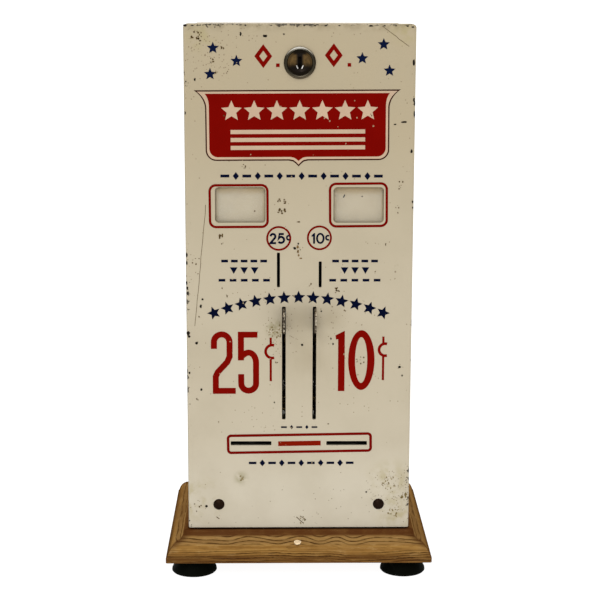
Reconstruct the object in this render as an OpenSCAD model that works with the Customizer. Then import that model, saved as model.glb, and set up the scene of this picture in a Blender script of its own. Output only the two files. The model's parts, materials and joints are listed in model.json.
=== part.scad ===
// A counter-top vending machine for stamps: a narrow steel case with a drop-down front door,
// two push levers, two coin slots and two delivery slots, on a moulded wooden base with rubber feet.
// Millimetres. Z is up, the front faces -Y, the origin is under the middle of the base at table level.

/* [Body] */
// Width of the door face
body_w = 163; // [158:0.5:170]
// Depth of the case with the door shut
body_d = 127; // [125:0.5:140]
// Height of the case above the wooden base
body_h = 369.3; // [363:0.1:391]
// Thickness of the sheet steel
sheet_t = 1.5; // [1.2:0.1:1.6]

/* [Base] */
// Thickness of the wooden base
plinth_h = 21; // [20:0.5:28]
// How far the base reaches beyond the case on every side
plinth_over = 16.25; // [14:0.25:20]
// Width of the base's flat top beyond the case
plinth_flat = 3; // [2:0.1:4]
// Height of the upright edge at the bottom of the base
plinth_lip = 4.7; // [3:0.1:6]
// Height of the rubber feet
foot_h = 12; // [10:0.5:14]
// Radius of a foot where it stands
foot_r = 16.7; // [15:0.1:18]
// Radius of a foot under the base
foot_neck_r = 12.5; // [11:0.1:14]
// Distance from the base's edge to a foot's centre
foot_inset = 20; // [19:0.5:24]

/* [Door] */
// Depth of the door's side and top flanges
flange_d = 14; // [12:0.5:16]
// Radius of the door's upper corners, seen from the front
corner_r = 3; // [2.5:0.1:5]
// Radius along the door's front edges
edge_r = 1.8; // [1:0.1:2.4]
// Gap between the door's flanges and the case
door_gap = 0.5; // [0.4:0.1:1]
// Gap between the back of the door's face and the front edge of the case
seat_gap = 1.5; // [1:0.1:2]
// Gap under the door
under_gap = 1.2; // [0.8:0.1:2]

/* [Hinge] */
// Height of the hinge axis above the base
hinge_rise = 12; // [11.6:0.1:13]
// Distance of the hinge axis behind the door face
hinge_back = 4.6; // [4.4:0.1:5]
// Radius of the hinge pin
pin_r = 1.5; // [1.2:0.1:1.6]
// Outer radius of the hinge knuckles
knuckle_r = 2.6; // [2.4:0.1:2.8]
// Thickness of the hinge leaves
leaf_t = 1.2; // [1:0.1:1.3]
// Distance of each hinge rivet from the door's side
rivet_inset = 22.5; // [20:0.5:26]
// Height of the hinge rivets above the hinge axis
rivet_rise = 7.1; // [6:0.1:8]
// Radius of the rivet heads
rivet_head_r = 4.15; // [3.5:0.05:5]
// Height of the rivet heads
rivet_head_h = 2; // [1.5:0.1:3]
// Length of each door knuckle
knuckle_w = 22; // [18:0.5:24]

/* [Windows] */
// Distance of each window from the door's side
window_inset = 21.3; // [19:0.1:23]
// Depth of the windows' centre below the top of the door
window_drop = 127.15; // [120:0.05:132]
// Width of a window
window_w = 36; // [30:0.5:38]
// Height of a window
window_h = 25.7; // [20:0.1:30]
// Radius of a window's corners
window_r = 2.8; // [2:0.1:4]
// Thickness of a window pane
pane_t = 1; // [0.8:0.1:1.2]
// Distance from a pane to the card behind it
card_depth = 2.8; // [2:0.1:2.9]
// Thickness of a card
card_t = 0.4; // [0.3:0.1:0.5]
// Width of the holder's rim around a window
holder_rim = 4; // [3:0.5:5]
// Thickness of the holder's back
holder_t = 0.7; // [0.6:0.1:0.8]

/* [Lock] */
// Depth of the lock's centre below the top of the door
lock_drop = 26.8; // [26:0.1:34]
// Outer radius of the lock's bezel
bezel_r = 11.25; // [10.5:0.05:12.5]
// Height of the bezel off the door
bezel_h = 2; // [1.5:0.1:2.5]
// Radius of the recess inside the bezel
recess_r = 8.65; // [8.2:0.05:9]
// Radius of the lock barrel behind the door
barrel_r = 9.4; // [9:0.1:10]
// Length of the lock barrel behind the door
barrel_d = 16; // [14:0.5:17]
// Radius of the turning plug
plug_r = 7; // [6.5:0.1:7.5]
// Width of the keyway
key_w = 2.4; // [1.8:0.1:3]
// Height of the keyway
key_h = 8.5; // [7:0.1:9.5]
// Width of the cam
cam_w = 12; // [10:0.5:13]
// Thickness of the cam
cam_t = 1.5; // [1.2:0.1:2]

/* [Coin slots] */
// Distance of each coin slot from the middle
coin_x = 15; // [14.8:0.1:15.2]
// Height of the coin slots' lower ends above the lever slots
coin_rise = 14.1; // [12:0.1:18]
// Height of the slot for the large coin
large_coin_h = 25.4; // [22:0.1:27]
// Height of the slot for the small coin
small_coin_h = 19; // [17:0.1:22]
// Width of the coin slots
coin_w = 2.2; // [1.8:0.05:2.4]
// Width of the coin channels behind the door
channel_w = 2.6; // [2.2:0.1:2.6]
// Wall of the coin channels
channel_t = 0.7; // [0.5:0.1:0.7]

/* [Levers] */
// Distance of each lever slot from the middle
slot_x = 11.1; // [11:0.05:11.2]
// Width of the lever slots
slot_w = 2.73; // [2.4:0.01:2.8]
// Height of the lever slots' lower ends above the base
slot_rise = 83.9; // [83:0.1:87]
// Length of the lever slots
slot_h = 84.4; // [83:0.1:86]
// Thickness of the lever plates
lever_t = 1.6; // [1.2:0.1:1.7]
// How far each lever stands to the outer side of its slot
lever_shift = 0.3; // [0:0.05:0.3]
// Distance of the lever shaft from the middle of the case, towards the back
pivot_y = 22; // [20:0.5:23]
// Angle that a lever travels
lever_travel = 40; // [36:0.5:40]
// How far the finger tab stands out of the door
tab_out = 15; // [12:0.5:16]
// Height of the finger tab
tab_h = 16.8; // [15:0.1:18]
// Radius of the finger tab's corners
tab_r = 5; // [3:0.5:6]
// Radius of the lever shaft
shaft_r = 4; // [3.5:0.1:4.2]
// Outer radius of the lever bushes
bush_r = 6; // [5.5:0.1:6.5]

/* [Gears] */
// Gear module
gear_m = 1; // [0.9:0.05:1.1]
// Teeth on each idler pinion
idler_teeth = 18; // [18:2:22]
// Thickness of the idler pinions and racks
gear_t = 3; // [2.4:0.1:3]
// Play between meshing teeth at the pitch line
backlash = 0.16; // [0.12:0.01:0.25]
// Radius of the idler shaft
idler_shaft_r = 3; // [2.5:0.1:3.5]

/* [Delivery] */
// Distance of each delivery slot's centre from the middle
delivery_x = 35.1; // [34.8:0.1:36]
// Height of the delivery slots' centre above the base
delivery_rise = 65.9; // [64.5:0.1:66.5]
// Width of a delivery slot
delivery_w = 29.9; // [26:0.1:31]
// Height of a delivery slot
delivery_h = 3.2; // [2.8:0.1:3.4]
// Thickness of the ejector's pusher plate
pusher_t = 1.4; // [1:0.1:1.6]
// Thickness of the ejector's rack bar below its teeth
bar_t = 2.35; // [2:0.05:2.6]
// Gap under the sliding ejector
slide_gap = 0.2; // [0.1:0.05:0.3]

/* [Magazines] */
// Width inside a magazine
stack_w = 31; // [30:0.1:32]
// Depth inside a magazine
stack_d = 43; // [40:0.5:44]
// Wall of a magazine
stack_t = 1; // [0.8:0.1:1.2]
// Width of the lips at a magazine's open front
stack_lip = 5; // [4:0.5:7]
// Gap over a magazine, under the case top
stack_clear = 14; // [10:0.5:20]
// Thickness of the follower weights
follower_h = 12; // [8:0.5:16]
// Radius of the follower's knob
knob_r = 6; // [4:0.5:8]

/* [Frame] */
// Thickness of the frame plates
plate_t = 1.6; // [1.4:0.1:1.8]
// Height of the frame plates
plate_h = 150; // [145:1:180]
// Radius of the spacer rods
spacer_r = 3; // [2.5:0.1:3.5]
// Wire radius of the return springs
wire_r = 0.45; // [0.35:0.05:0.5]
// Turns of a return spring
spring_turns = 8; // [6:1:10]

/* [Coin box] */
// Room between the coin box and each side of the case
coin_box_side = 18; // [12:0.5:24]
// Room between the coin box and the ends of the coin channels
coin_box_clear = 5.9; // [4:0.1:12]
// Wall of the coin box
coin_box_t = 1.2; // [1:0.1:1.5]

/* [Hidden] */
$fn = 64;

// Clearances
cut = 1;            // how far a cutter passes a face
run = 0.05;         // radial play of a running shaft
fixed = 0.02;       // radial play of a fixed pin
rest_gap = 0.3;     // gap at a stop
tab_gap = 1;        // gap over a finger tab, for the door to swing past it
moving_gap = 0.6;   // gap between a moving piece and the piece beside it
pass_gap = 0.5;     // gap between pieces that pass each other closely

// Heights and depths of the main planes
z_base = foot_h + plinth_h;
z_top = z_base + body_h;
y_face = -body_d / 2;
y_back = body_d / 2;
y_skin = y_face + sheet_t;
y_flange = y_face + flange_d;
z_door = z_base + under_gap;
function below(drop) = z_top - drop;
slot_z = z_base + slot_rise + slot_h / 2;
coin_z = slot_z + slot_h / 2 + coin_rise;
delivery_z = z_base + delivery_rise;
window_x = body_w / 2 - window_inset - window_w / 2;

// Case planes
case_x = body_w / 2 - sheet_t - door_gap;
case_top = z_top - sheet_t - door_gap;
case_front = y_skin + seat_gap;
case_back_in = y_back - sheet_t;
case_top_in = case_top - sheet_t;
case_floor = z_base + sheet_t;
case_x_in = case_x - sheet_t;
case_r = sheet_t + 1;
return_w = 6;       // inward return along the case's front edges

// Hinge
hinge_y = y_face + hinge_back;
hinge_z = z_base + hinge_rise;
rivet_x = body_w / 2 - rivet_inset;
rivet_z = hinge_z + rivet_rise;
sweep_r = hinge_rise - rest_gap;
leaf_y = hinge_y + sweep_r + 2;
hinge_play = 0.3;   // gap between neighbouring knuckles
leaf_rise = 13;     // height of the door leaf above the hinge axis
leaf_foot = 14;     // length of the case leaf's foot on the case floor
pin_end = case_x_in - 2;
door_knuckle = [rivet_x - knuckle_w / 2, rivet_x + knuckle_w / 2];
rivet_r = 2;
rivet_tail_r = 3.2;
rivet_tail_h = 1;

// Lock
lock_z = below(lock_drop);
y_barrel = y_skin + barrel_d;
nut_r = 13.5;
nut_h = 3;
flat_w = 16.5;      // distance across the barrel's flats
plug_recess = 1.3;  // how deep the plug's face lies inside the bezel
tail_w = 6;         // square end of the plug that carries the cam
plug_dish = 1.6;    // depth of the hollow in the plug's face
keeper_gap = 3.5;   // gap between the barrel and the keeper's lip
keeper_w = 28;
keeper_t = 1.2;
keeper_d = 9;
cam_screw_r = 1.5;

// Mechanism: heights follow the door's slots
tray_top = delivery_z - delivery_h / 2;
tray_t = 1.4;
tray_front = y_skin + 0.8;
tray_skirt = 9;     // height of the tray's turned-down edges
bar_bottom = tray_top + slide_gap;
addendum = gear_m;
dedendum = 1.25 * gear_m;
rack_z = bar_bottom + bar_t + dedendum;
idler_r = gear_m * idler_teeth / 2;
idler_z = rack_z + idler_r;
pivot_z = slot_z;
sector_r = pivot_z - idler_z - idler_r;
pressure = 20;      // pressure angle of the teeth
lever_x = slot_x + lever_shift;
stroke = sector_r * lever_travel * PI / 180;

// Finger tab, measured from the lever's pivot
tab_front = y_face - tab_out - pivot_y;
tab_back = y_face + 6 - pivot_y;
tab_top = slot_h / 2 - tab_gap;
tab_bottom = tab_top - tab_h;
hub_r = bush_r + 5;
spring_r = 3;
tail_y = hub_r + spring_r;  // distance of the spring behind the pivot
tail_r = 4.5;
tail_pin_r = 1.6;

// Frame plates stand just inside the magazines
stack_x = delivery_x - stack_w / 2 - stack_t;
plate_x = stack_x - plate_t;
plate_front = y_face + 13;
plate_low = bar_bottom + pusher_t + moving_gap;     // the ejector's arm passes below
plate_top = tray_top + plate_h;
cam_reach = stack_x - moving_gap;   // the cam turns between the magazines
plate_foot = 15;    // width of the flange on the case back
arm_y = [2, 14];    // where the ejector's arm crosses under a frame plate
rack_lead = 8;      // length of the rack bar in front of the arm
rack_end_gap = 2;   // room between the rack bar and the case back
spring_y = pivot_y + tail_y;
spring_x = lever_x - lever_t / 2 - spring_r - 1.6;
anchor_z = pivot_z - sqrt(pow(sector_r + addendum + spacer_r + pass_gap, 2) - pow(tail_y, 2));
spring_z = [anchor_z + spacer_r + rest_gap, pivot_z - tail_pin_r - rest_gap];
stop_y = tab_back * 0.5 + pivot_y;
plate_slope = 45;   // height of the cut-off upper front corner
plate_head = 40;    // depth of the plate at its top
plate_hole_r = 11;
spacer_inset = 12;  // distance of the rear spacers from the case back and the plate's ends
bolt_x = plate_x + plate_foot - 5;
bolt_z = [tray_top + 25, plate_top - 20];
bolt_r = 2;

// Magazine planes
stack_front = y_skin + pane_t + card_depth + card_t + holder_t + 1.6;
stack_back = stack_front + stack_d + 2 * stack_t;
stack_foot = tray_top + 2.3;
stack_top = case_top_in - stack_clear;
strap_h = 4.4;
pusher_y = stack_back + pass_gap;
pusher_d = 23;
follower_play = 0.4;
follower_tab = [8, 8];

// Coin channels
channel_top_r = 8;
channel_foot = tray_top - tray_t - 4;

// Coin box
coin_box_front = leaf_y + leaf_t + moving_gap;
coin_box_back = case_back_in - 12;
coin_box_foot = case_floor + leaf_t + 0.2;
coin_box_top = channel_foot - coin_box_clear;
coin_box_x = case_x_in - coin_box_side;
rib_w = 6;

// Base
half_w = body_w / 2 + plinth_over;
half_d = body_d / 2 + plinth_over;
foot_x = half_w - foot_inset;
foot_y = half_d - foot_inset;
cove_w = 5.6;       // width of the hollow in the base's moulding
cove_h = plinth_h * 0.32;
bead = 0.6;         // small steps in the moulding
slope_bulge = 0.9;  // how far the rounded slope stands out in its middle
foot_screw_r = 1.8;
base_screw_r = 2;
base_screw_x = case_x_in - coin_box_side / 2;
base_screw_y = [-body_d / 4, body_d / 2 - 16];
base_screw_depth = plinth_h / 2;
foot_screw_depth = plinth_h * 0.4;

cream = [0.80, 0.75, 0.62];
steel = [0.62, 0.62, 0.62];
zinc = [0.72, 0.71, 0.66];

// ---------- helpers ----------

// A profile drawn as (y, z), extruded along X from x0 to x1
module along_x(x0, x1) {
    translate([x0, 0, 0])
        rotate([90, 0, 90])
            linear_extrude(x1 - x0)
                children();
}

// A profile drawn as (x, z), extruded along Y from y0 to y1
module along_y(y0, y1) {
    translate([0, y1, 0])
        rotate([90, 0, 0])
            linear_extrude(y1 - y0)
                children();
}

// A block between two corners
module block(x, y, z) {
    translate([x[0], y[0], z[0]])
        cube([x[1] - x[0], y[1] - y[0], z[1] - z[0]]);
}

// A round rod along X, centred on (y, z)
module rod_x(r, x, y, z) {
    translate([x[0], y, z])
        rotate([0, 90, 0])
            cylinder(r = r, h = x[1] - x[0]);
}

// A round rod along Y, centred on (x, z)
module rod_y(r, y, x, z) {
    translate([x, y[0], z])
        rotate([-90, 0, 0])
            cylinder(r = r, h = y[1] - y[0]);
}

// A round rod along Z, centred on (x, y)
module rod_z(r, z, x, y) {
    translate([x, y, z[0]])
        cylinder(r = r, h = z[1] - z[0]);
}

// A rectangle with four round corners, centred
module round_rect(w, h, r) {
    square([w - 2 * r, h], center = true);
    square([w, h - 2 * r], center = true);
    for (sx = [-1, 1], sz = [-1, 1])
        translate([sx * (w / 2 - r), sz * (h / 2 - r)])
            circle(r);
}

// A rectangle from (-w/2, low) to (w/2, high) whose two upper corners are round
module arch_rect(w, low, high, r) {
    translate([-w / 2, low])
        square([w, high - low - r]);
    translate([-w / 2 + r, low])
        square([w - 2 * r, high - low]);
    for (s = [-1, 1])
        translate([s * (w / 2 - r), high - r])
            circle(r);
}

// Involute angle in degrees at radius r of a gear with base radius rb
function involute(rb, r) = r <= rb ? 0 : tan(acos(rb / r)) * 180 / PI - acos(rb / r);

// Half of a tooth's angle at radius r
function half_tooth(rp, r) =
    let (rb = rp * cos(pressure))
    ((PI * gear_m - backlash) / 4) / rp * 180 / PI + involute(rb, rp) - involute(rb, r);

// Radii at which a tooth's flank has its points
function flank_radii(rp) =
    let (low = rp - dedendum, high = rp + addendum, steps = 5)
    [for (i = [0 : steps]) low + (high - low) * i / steps];

// Outline of one external tooth whose middle is at angle a
function tooth(rp, a) =
    let (radii = flank_radii(rp), last = len(radii) - 1)
    concat(
        [for (i = [0 : last]) radii[i] * [cos(a - half_tooth(rp, radii[i])), sin(a - half_tooth(rp, radii[i]))]],
        [for (i = [last : -1 : 0])
            radii[i] * [cos(a + half_tooth(rp, radii[i])), sin(a + half_tooth(rp, radii[i]))]]);

// A run of teeth: count of them, the first at angle a0, each one a further step round
function tooth_run(rp, a0, step, count) =
    [for (k = [0 : count - 1]) for (p = tooth(rp, a0 + k * step)) p];

// ---------- base ----------

// Outline of the moulded edge from the top down: a flat, a hollow, a rounded slope and an upright lip
function moulding(half) =
    let (edge = half + plinth_over, start = half + plinth_flat + bead, lip = foot_h + plinth_lip)
    let (arris = z_base - bead - cove_h, reach = edge - bead - start - cove_w, steps = 8)
    concat(
        [[half + plinth_flat, z_base]],
        [for (i = [0 : steps]) let (a = 90 * i / steps)
            [start + cove_w * (1 - cos(a)), z_base - bead - cove_h * sin(a)]],
        [for (i = [1 : steps - 1]) let (t = i / steps, out = slope_bulge * sin(180 * t))
            [start + cove_w + reach * t + out, arris - (arris - lip) * t + out * reach / (arris - lip)]],
        [[edge - bead, lip], [edge, lip - bead], [edge, foot_h + bead], [edge - bead, foot_h]]);

// The moulded outline and its mirror image as one closed shape
module plinth_section(half) {
    side = moulding(half);
    polygon(concat(side, [for (i = [len(side) - 1 : -1 : 0]) [-side[i][0], side[i][1]]]));
}

module plinth() {
    color([0.59, 0.42, 0.23])
    difference() {
        intersection() {
            along_y(-half_d, half_d)
                plinth_section(body_w / 2);
            along_x(-half_w, half_w)
                plinth_section(body_d / 2);
        }
        for (sx = [-1, 1], sy = [-1, 1])
            rod_z(foot_screw_r + fixed, [foot_h - cut, foot_h + foot_screw_depth + 1], sx * foot_x, sy * foot_y);
        for (sx = [-1, 1], y = base_screw_y)
            rod_z(base_screw_r + fixed, [z_base - base_screw_depth - 1, z_base + cut], sx * base_screw_x, y);
    }
}

// A rubber foot, flared towards the table, with a hollow for its screw
module foot(sx, sy) {
    flare_h = 2.2;
    hollow_r = foot_neck_r * 0.44;
    color([0.08, 0.08, 0.08])
    translate([sx * foot_x, sy * foot_y, 0])
    difference() {
        rotate_extrude()
            polygon([[0, 0], [foot_r - 0.6, 0], [foot_r, 0.7], [foot_r - 0.2, flare_h],
                [foot_neck_r + 2, foot_h * 0.5], [foot_neck_r + 0.4, foot_h * 0.75],
                [foot_neck_r, foot_h - 0.6], [foot_neck_r - 0.5, foot_h], [0, foot_h]]);
        translate([0, 0, -cut])
            cylinder(r = hollow_r, h = cut + foot_h * 0.45);
        translate([0, 0, -cut])
            cylinder(r = foot_screw_r + fixed, h = foot_h + 2 * cut);
    }
}

module foot_screws() {
    head_z = foot_h * 0.45;
    color(steel)
    for (sx = [-1, 1], sy = [-1, 1])
        translate([sx * foot_x, sy * foot_y, 0]) {
            translate([0, 0, head_z - 2])
                cylinder(r = foot_screw_r + 1.9, h = 2);
            translate([0, 0, head_z - cut])
                cylinder(r = foot_screw_r, h = foot_h + foot_screw_depth - head_z + cut);
        }
}

// ---------- case ----------

module case_shell() {
    color(cream)
    difference() {
        union() {
            difference() {
                intersection() {
                    along_y(case_front, y_back)
                        arch_rect(2 * case_x, z_base, case_top, case_r);
                    translate([0, 0, z_base])
                        linear_extrude(case_top - z_base)
                            arch_rect(2 * case_x, case_front, y_back, case_r);
                }
                block([-case_x_in, case_x_in], [case_front - cut, case_back_in], [case_floor, case_top_in]);
            }
            for (s = [-1, 1])
                block([s * case_x_in - return_w * (1 + s) / 2, s * case_x_in + return_w * (1 - s) / 2],
                    [case_front, case_front + sheet_t], [hinge_z + leaf_rise + 4, case_top_in]);
            block([-case_x_in, case_x_in], [case_front, case_front + sheet_t],
                [case_top_in - return_w, case_top_in]);
        }
        // room for the door's lower edge as it swings in
        intersection() {
            rod_x(sweep_r + 0.5, [-case_x - cut, case_x + cut], hinge_y, hinge_z);
            block([-case_x, case_x], [case_front - cut, leaf_y], [z_base - cut, hinge_z]);
        }
        for (sx = [-1, 1], y = base_screw_y)
            rod_z(base_screw_r + fixed, [z_base - cut, case_floor + cut], sx * base_screw_x, y);
        for (sx = [-1, 1], z = bolt_z)
            rod_y(bolt_r + fixed, [case_back_in - cut, y_back + cut], sx * bolt_x, z);
    }
}

module case_screws() {
    color(steel)
    for (sx = [-1, 1], y = base_screw_y) {
        rod_z(base_screw_r, [z_base - base_screw_depth, case_floor + cut], sx * base_screw_x, y);
        rod_z(base_screw_r + 2, [case_floor, case_floor + 2], sx * base_screw_x, y);
    }
}

// Leaf on the case: knuckles, a shelf back over the door's swing, and a foot on the case floor
module case_hinge_leaf() {
    outer = door_knuckle[1] + hinge_play;
    inner = door_knuckle[0] - hinge_play;
    low = hinge_z - knuckle_r;
    color(zinc)
    difference() {
        union() {
            for (s = [-1, 1]) {
                for (span = [[outer, pin_end], [inner - 24, inner]]) {
                    ends = s > 0 ? span : [-span[1], -span[0]];
                    rod_x(knuckle_r, ends, hinge_y, hinge_z);
                    block(ends, [hinge_y, leaf_y + leaf_t], [low, low + leaf_t]);
                }
            }
            block([-pin_end, pin_end], [hinge_y + knuckle_r + moving_gap, leaf_y + leaf_t], [low, low + leaf_t]);
            block([-pin_end, pin_end], [leaf_y, leaf_y + leaf_t], [case_floor, low + leaf_t]);
            block([-pin_end + 14, pin_end - 14], [leaf_y, leaf_y + leaf_foot], [case_floor, case_floor + leaf_t]);
        }
        rod_x(pin_r + fixed, [-pin_end - cut, pin_end + cut], hinge_y, hinge_z);
    }
}

module hinge_pin() {
    color(steel)
    rod_x(pin_r, [-pin_end - 0.8, pin_end + 0.8], hinge_y, hinge_z);
}

// Bracket under the case top, whose lip the cam turns up behind
module latch_keeper() {
    lip_y = y_barrel - 2.2;
    color(zinc)
    union() {
        block([-keeper_w / 2, keeper_w / 2], [lip_y - keeper_d, lip_y], [case_top_in - keeper_t, case_top_in]);
        block([-keeper_w / 2, keeper_w / 2], [lip_y - keeper_t, lip_y],
            [lock_z + barrel_r + keeper_gap, case_top_in]);
    }
}

// ---------- mechanism frame ----------

// One of the two upright plates; s is -1 on the left and 1 on the right
module frame_plate(s) {
    faces = s > 0 ? [plate_x, plate_x + plate_t] : [-plate_x - plate_t, -plate_x];
    flange = s > 0 ? [plate_x, plate_x + plate_foot] : [-plate_x - plate_foot, -plate_x];
    color(zinc)
    difference() {
        union() {
            along_x(faces[0], faces[1])
                polygon([[plate_front, plate_low], [case_back_in, plate_low], [case_back_in, plate_top],
                    [case_back_in - plate_head, plate_top],
                    [plate_front + plate_foot, plate_top - plate_slope * 0.7],
                    [plate_front, plate_top - plate_slope]]);
            block(flange, [case_back_in - plate_t, case_back_in], [tray_top + 10, plate_top]);
        }
        rod_x(shaft_r + fixed, [faces[0] - cut, faces[1] + cut], pivot_y, pivot_z);
        rod_x(idler_shaft_r + fixed, [faces[0] - cut, faces[1] + cut], pivot_y, idler_z);
        // lightening hole
        rod_x(plate_hole_r, [faces[0] - cut, faces[1] + cut], case_back_in - plate_head,
            plate_top - plate_slope * 0.7);
        for (z = bolt_z)
            rod_y(bolt_r + fixed, [case_back_in - plate_t - cut, case_back_in + cut], s * bolt_x, z);
    }
}

// Rods between the plates: the springs' anchor, the levers' stop and two stiffeners
module frame_spacers() {
    lever_top = tab_top - (stop_y - pivot_y - tab_back) * (tab_top - hub_r * 0.9) / (-tab_back);
    color(steel)
    union() {
        rod_x(spacer_r, [-plate_x, plate_x], spring_y, anchor_z);
        rod_x(spacer_r, [-plate_x, plate_x], stop_y, pivot_z + lever_top + spacer_r + 1);
        for (z = [tray_top + spacer_inset + spacer_r, plate_top - spacer_inset])
            rod_x(spacer_r, [-plate_x, plate_x], case_back_in - spacer_inset, z);
    }
}

module frame_bolts() {
    color(steel)
    for (sx = [-1, 1], z = bolt_z) {
        rod_y(bolt_r, [case_back_in - plate_t - 3, y_back + 0.5], sx * bolt_x, z);
        rod_y(bolt_r + 2, [y_back, y_back + 2], sx * bolt_x, z);
    }
}

module lever_shaft() {
    color(steel)
    rod_x(shaft_r, [-plate_x - plate_t, plate_x + plate_t], pivot_y, pivot_z);
}

module idler_shaft() {
    color(steel)
    rod_x(idler_shaft_r, [-plate_x - plate_t, plate_x + plate_t], pivot_y, idler_z);
}

// A collar on a shaft along X
module collar(r_in, r_out, x, z) {
    difference() {
        rod_x(r_out, x, pivot_y, z);
        rod_x(r_in + run, [x[0] - cut, x[1] + cut], pivot_y, z);
    }
}

bush_half = 3;      // half of a lever bush's length
idler_half = gear_t / 2;

// Tubes that keep the levers and idlers in their places along the shafts
module shaft_collars() {
    color([0.7, 0.6, 0.35]) {
        collar(shaft_r, bush_r, [-lever_x + bush_half + rest_gap, lever_x - bush_half - rest_gap], pivot_z);
        collar(idler_shaft_r, idler_shaft_r + 2,
            [-lever_x + idler_half + rest_gap, lever_x - idler_half - rest_gap], idler_z);
        for (s = [-1, 1]) {
            low = lever_x + idler_half + rest_gap;
            high = plate_x - 0.1;
            collar(idler_shaft_r, idler_shaft_r + 2, s > 0 ? [low, high] : [-high, -low], idler_z);
        }
    }
}

// Floor under both columns, with guides beside the racks and openings for the coin channels
module ejector_tray() {
    tray_x = stack_x + stack_w + 2 * stack_t;
    guide_h = 1.8;
    color(zinc)
    difference() {
        union() {
            block([-tray_x, tray_x], [tray_front, case_back_in], [tray_top - tray_t, tray_top]);
            for (s = [-1, 1]) {
                side = s > 0 ? [tray_x - tray_t, tray_x] : [-tray_x, -tray_x + tray_t];
                block(side, [tray_front + tray_skirt, case_back_in], [tray_top - tray_skirt, tray_top - tray_t / 2]);
                inside = lever_x - gear_t / 2 - rest_gap - 1;
                block(s > 0 ? [inside, inside + 1] : [-inside - 1, -inside],
                    [pusher_y, case_back_in - 1], [tray_top - tray_t / 2, tray_top + guide_h]);
                outside = lever_x + gear_t / 2 + rest_gap;
                block(s > 0 ? [outside, outside + 1] : [-outside - 1, -outside],
                    [arm_y[1] + rest_gap, case_back_in - 1], [tray_top - tray_t / 2, tray_top + guide_h]);
            }
            block([-stack_x, stack_x], [case_back_in - tray_t, case_back_in],
                [tray_top - tray_skirt, tray_top - tray_t / 2]);
        }
        coin_hole(-1, channel_back(large_coin_h));
        coin_hole(1, channel_back(small_coin_h));
    }
}

function channel_back(coin_h) = tray_front + coin_h + 2;

module coin_hole(s, back) {
    half = channel_w / 2 + channel_t + rest_gap;
    block([s * coin_x - half, s * coin_x + half], [tray_front + 0.6 - rest_gap, back + rest_gap],
        [tray_top - tray_t - cut, tray_top + cut]);
}

// ---------- magazines and coin channels ----------

// An upright channel for the stack, open at the front between two lips, with a sight slot
module magazine(s) {
    half = stack_w / 2 + stack_t;
    slot_low = stack_foot + 30;
    slot_high = stack_top - 30;
    translate([s * delivery_x, 0, 0])
    color(zinc)
    difference() {
        block([-half, half], [stack_front, stack_back], [stack_foot, stack_top]);
        block([-stack_w / 2, stack_w / 2], [stack_front + stack_t, stack_back - stack_t],
            [stack_foot - cut, stack_top + cut]);
        block([-stack_w / 2 + stack_lip, stack_w / 2 - stack_lip], [stack_front - cut, stack_front + stack_t + cut],
            [stack_foot + strap_h, stack_top - strap_h]);
        // sight slot in the outer wall
        along_x(s > 0 ? 0 : -half - cut, s > 0 ? half + cut : 0)
            translate([(stack_front + stack_back) / 2, (slot_low + slot_high) / 2])
                round_rect(12, slot_high - slot_low, 5.9);
    }
}

// A weight that rides on the stack; its front tab comes to rest on the magazine's lower strap
module follower(s) {
    half = stack_w / 2 - follower_play;
    low = stack_foot + 0.2;
    tab_z = stack_foot + strap_h + 0.2;
    front = stack_front + stack_t + follower_play;
    back = stack_back - stack_t - follower_play;
    translate([s * delivery_x, 0, 0])
    color([0.42, 0.42, 0.43])
    union() {
        difference() {
            block([-half, half], [front, back], [low, low + follower_h]);
            for (e = [-1, 1])
                translate([0, (front + back) / 2 + e * (back - front) / 2, low + follower_h])
                    rotate([45, 0, 0])
                        cube([2 * half + 2 * cut, 2.4, 2.4], center = true);
        }
        block([-follower_tab[0] / 2, follower_tab[0] / 2], [stack_front - 0.6, front + cut],
            [tab_z, tab_z + follower_tab[1]]);
        rod_z(knob_r * 0.55, [low + follower_h - cut, low + follower_h + 4], 0, (front + back) / 2);
        rod_z(knob_r, [low + follower_h + 4, low + follower_h + 9], 0, (front + back) / 2);
    }
}

// A flat upright channel behind a coin slot; the coin falls on edge into the coin box
module coin_chute(s, coin_h) {
    half = channel_w / 2 + channel_t;
    mouth_low = coin_z - 0.8;
    mouth_high = coin_z + coin_h + 0.8;
    top = mouth_high + 1.2;
    front = tray_front + 0.6;
    back = channel_back(coin_h);
    translate([s * coin_x, 0, 0])
    color(zinc)
    difference() {
        along_x(-half, half)
            chute_side(front, back, channel_foot, top, channel_top_r);
        along_x(-channel_w / 2, channel_w / 2)
            chute_side(front + 1, back - 1, channel_foot - cut, top - 1, channel_top_r - 1);
        block([-channel_w / 2, channel_w / 2], [front - cut, front + 1 + cut], [mouth_low, mouth_high]);
    }
}

// Side outline of a coin channel: its upper rear corner is round, to turn the coin down
module chute_side(front, back, low, high, r) {
    translate([front, low])
        square([back - front, high - low - r]);
    translate([front, low])
        square([back - front - r, high - low]);
    translate([back - r, high - r])
        circle(r);
}

// Open box with two compartments, two pressed ribs under it and a dip in its front edge
module coin_box() {
    half = coin_box_x;
    low = coin_box_foot;
    high = coin_box_top;
    color([0.45, 0.46, 0.45])
    difference() {
        union() {
            difference() {
                block([-half, half], [coin_box_front, coin_box_back], [low, high]);
                for (s = [-1, 1]) {
                    room = s > 0 ? [coin_box_t / 2, half - coin_box_t] : [-half + coin_box_t, -coin_box_t / 2];
                    block(room, [coin_box_front + coin_box_t, coin_box_back - coin_box_t],
                        [low + coin_box_t, high + cut]);
                }
            }
            for (s = [-1, 1])
                block([s * half * 0.6 - rib_w / 2, s * half * 0.6 + rib_w / 2], [0, coin_box_back - 10],
                    [case_floor, low + coin_box_t / 2]);
        }
        rod_y(16, [coin_box_front - cut, coin_box_front + coin_box_t + cut], 0, high + 6);
    }
}

// ---------- door ----------

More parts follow.
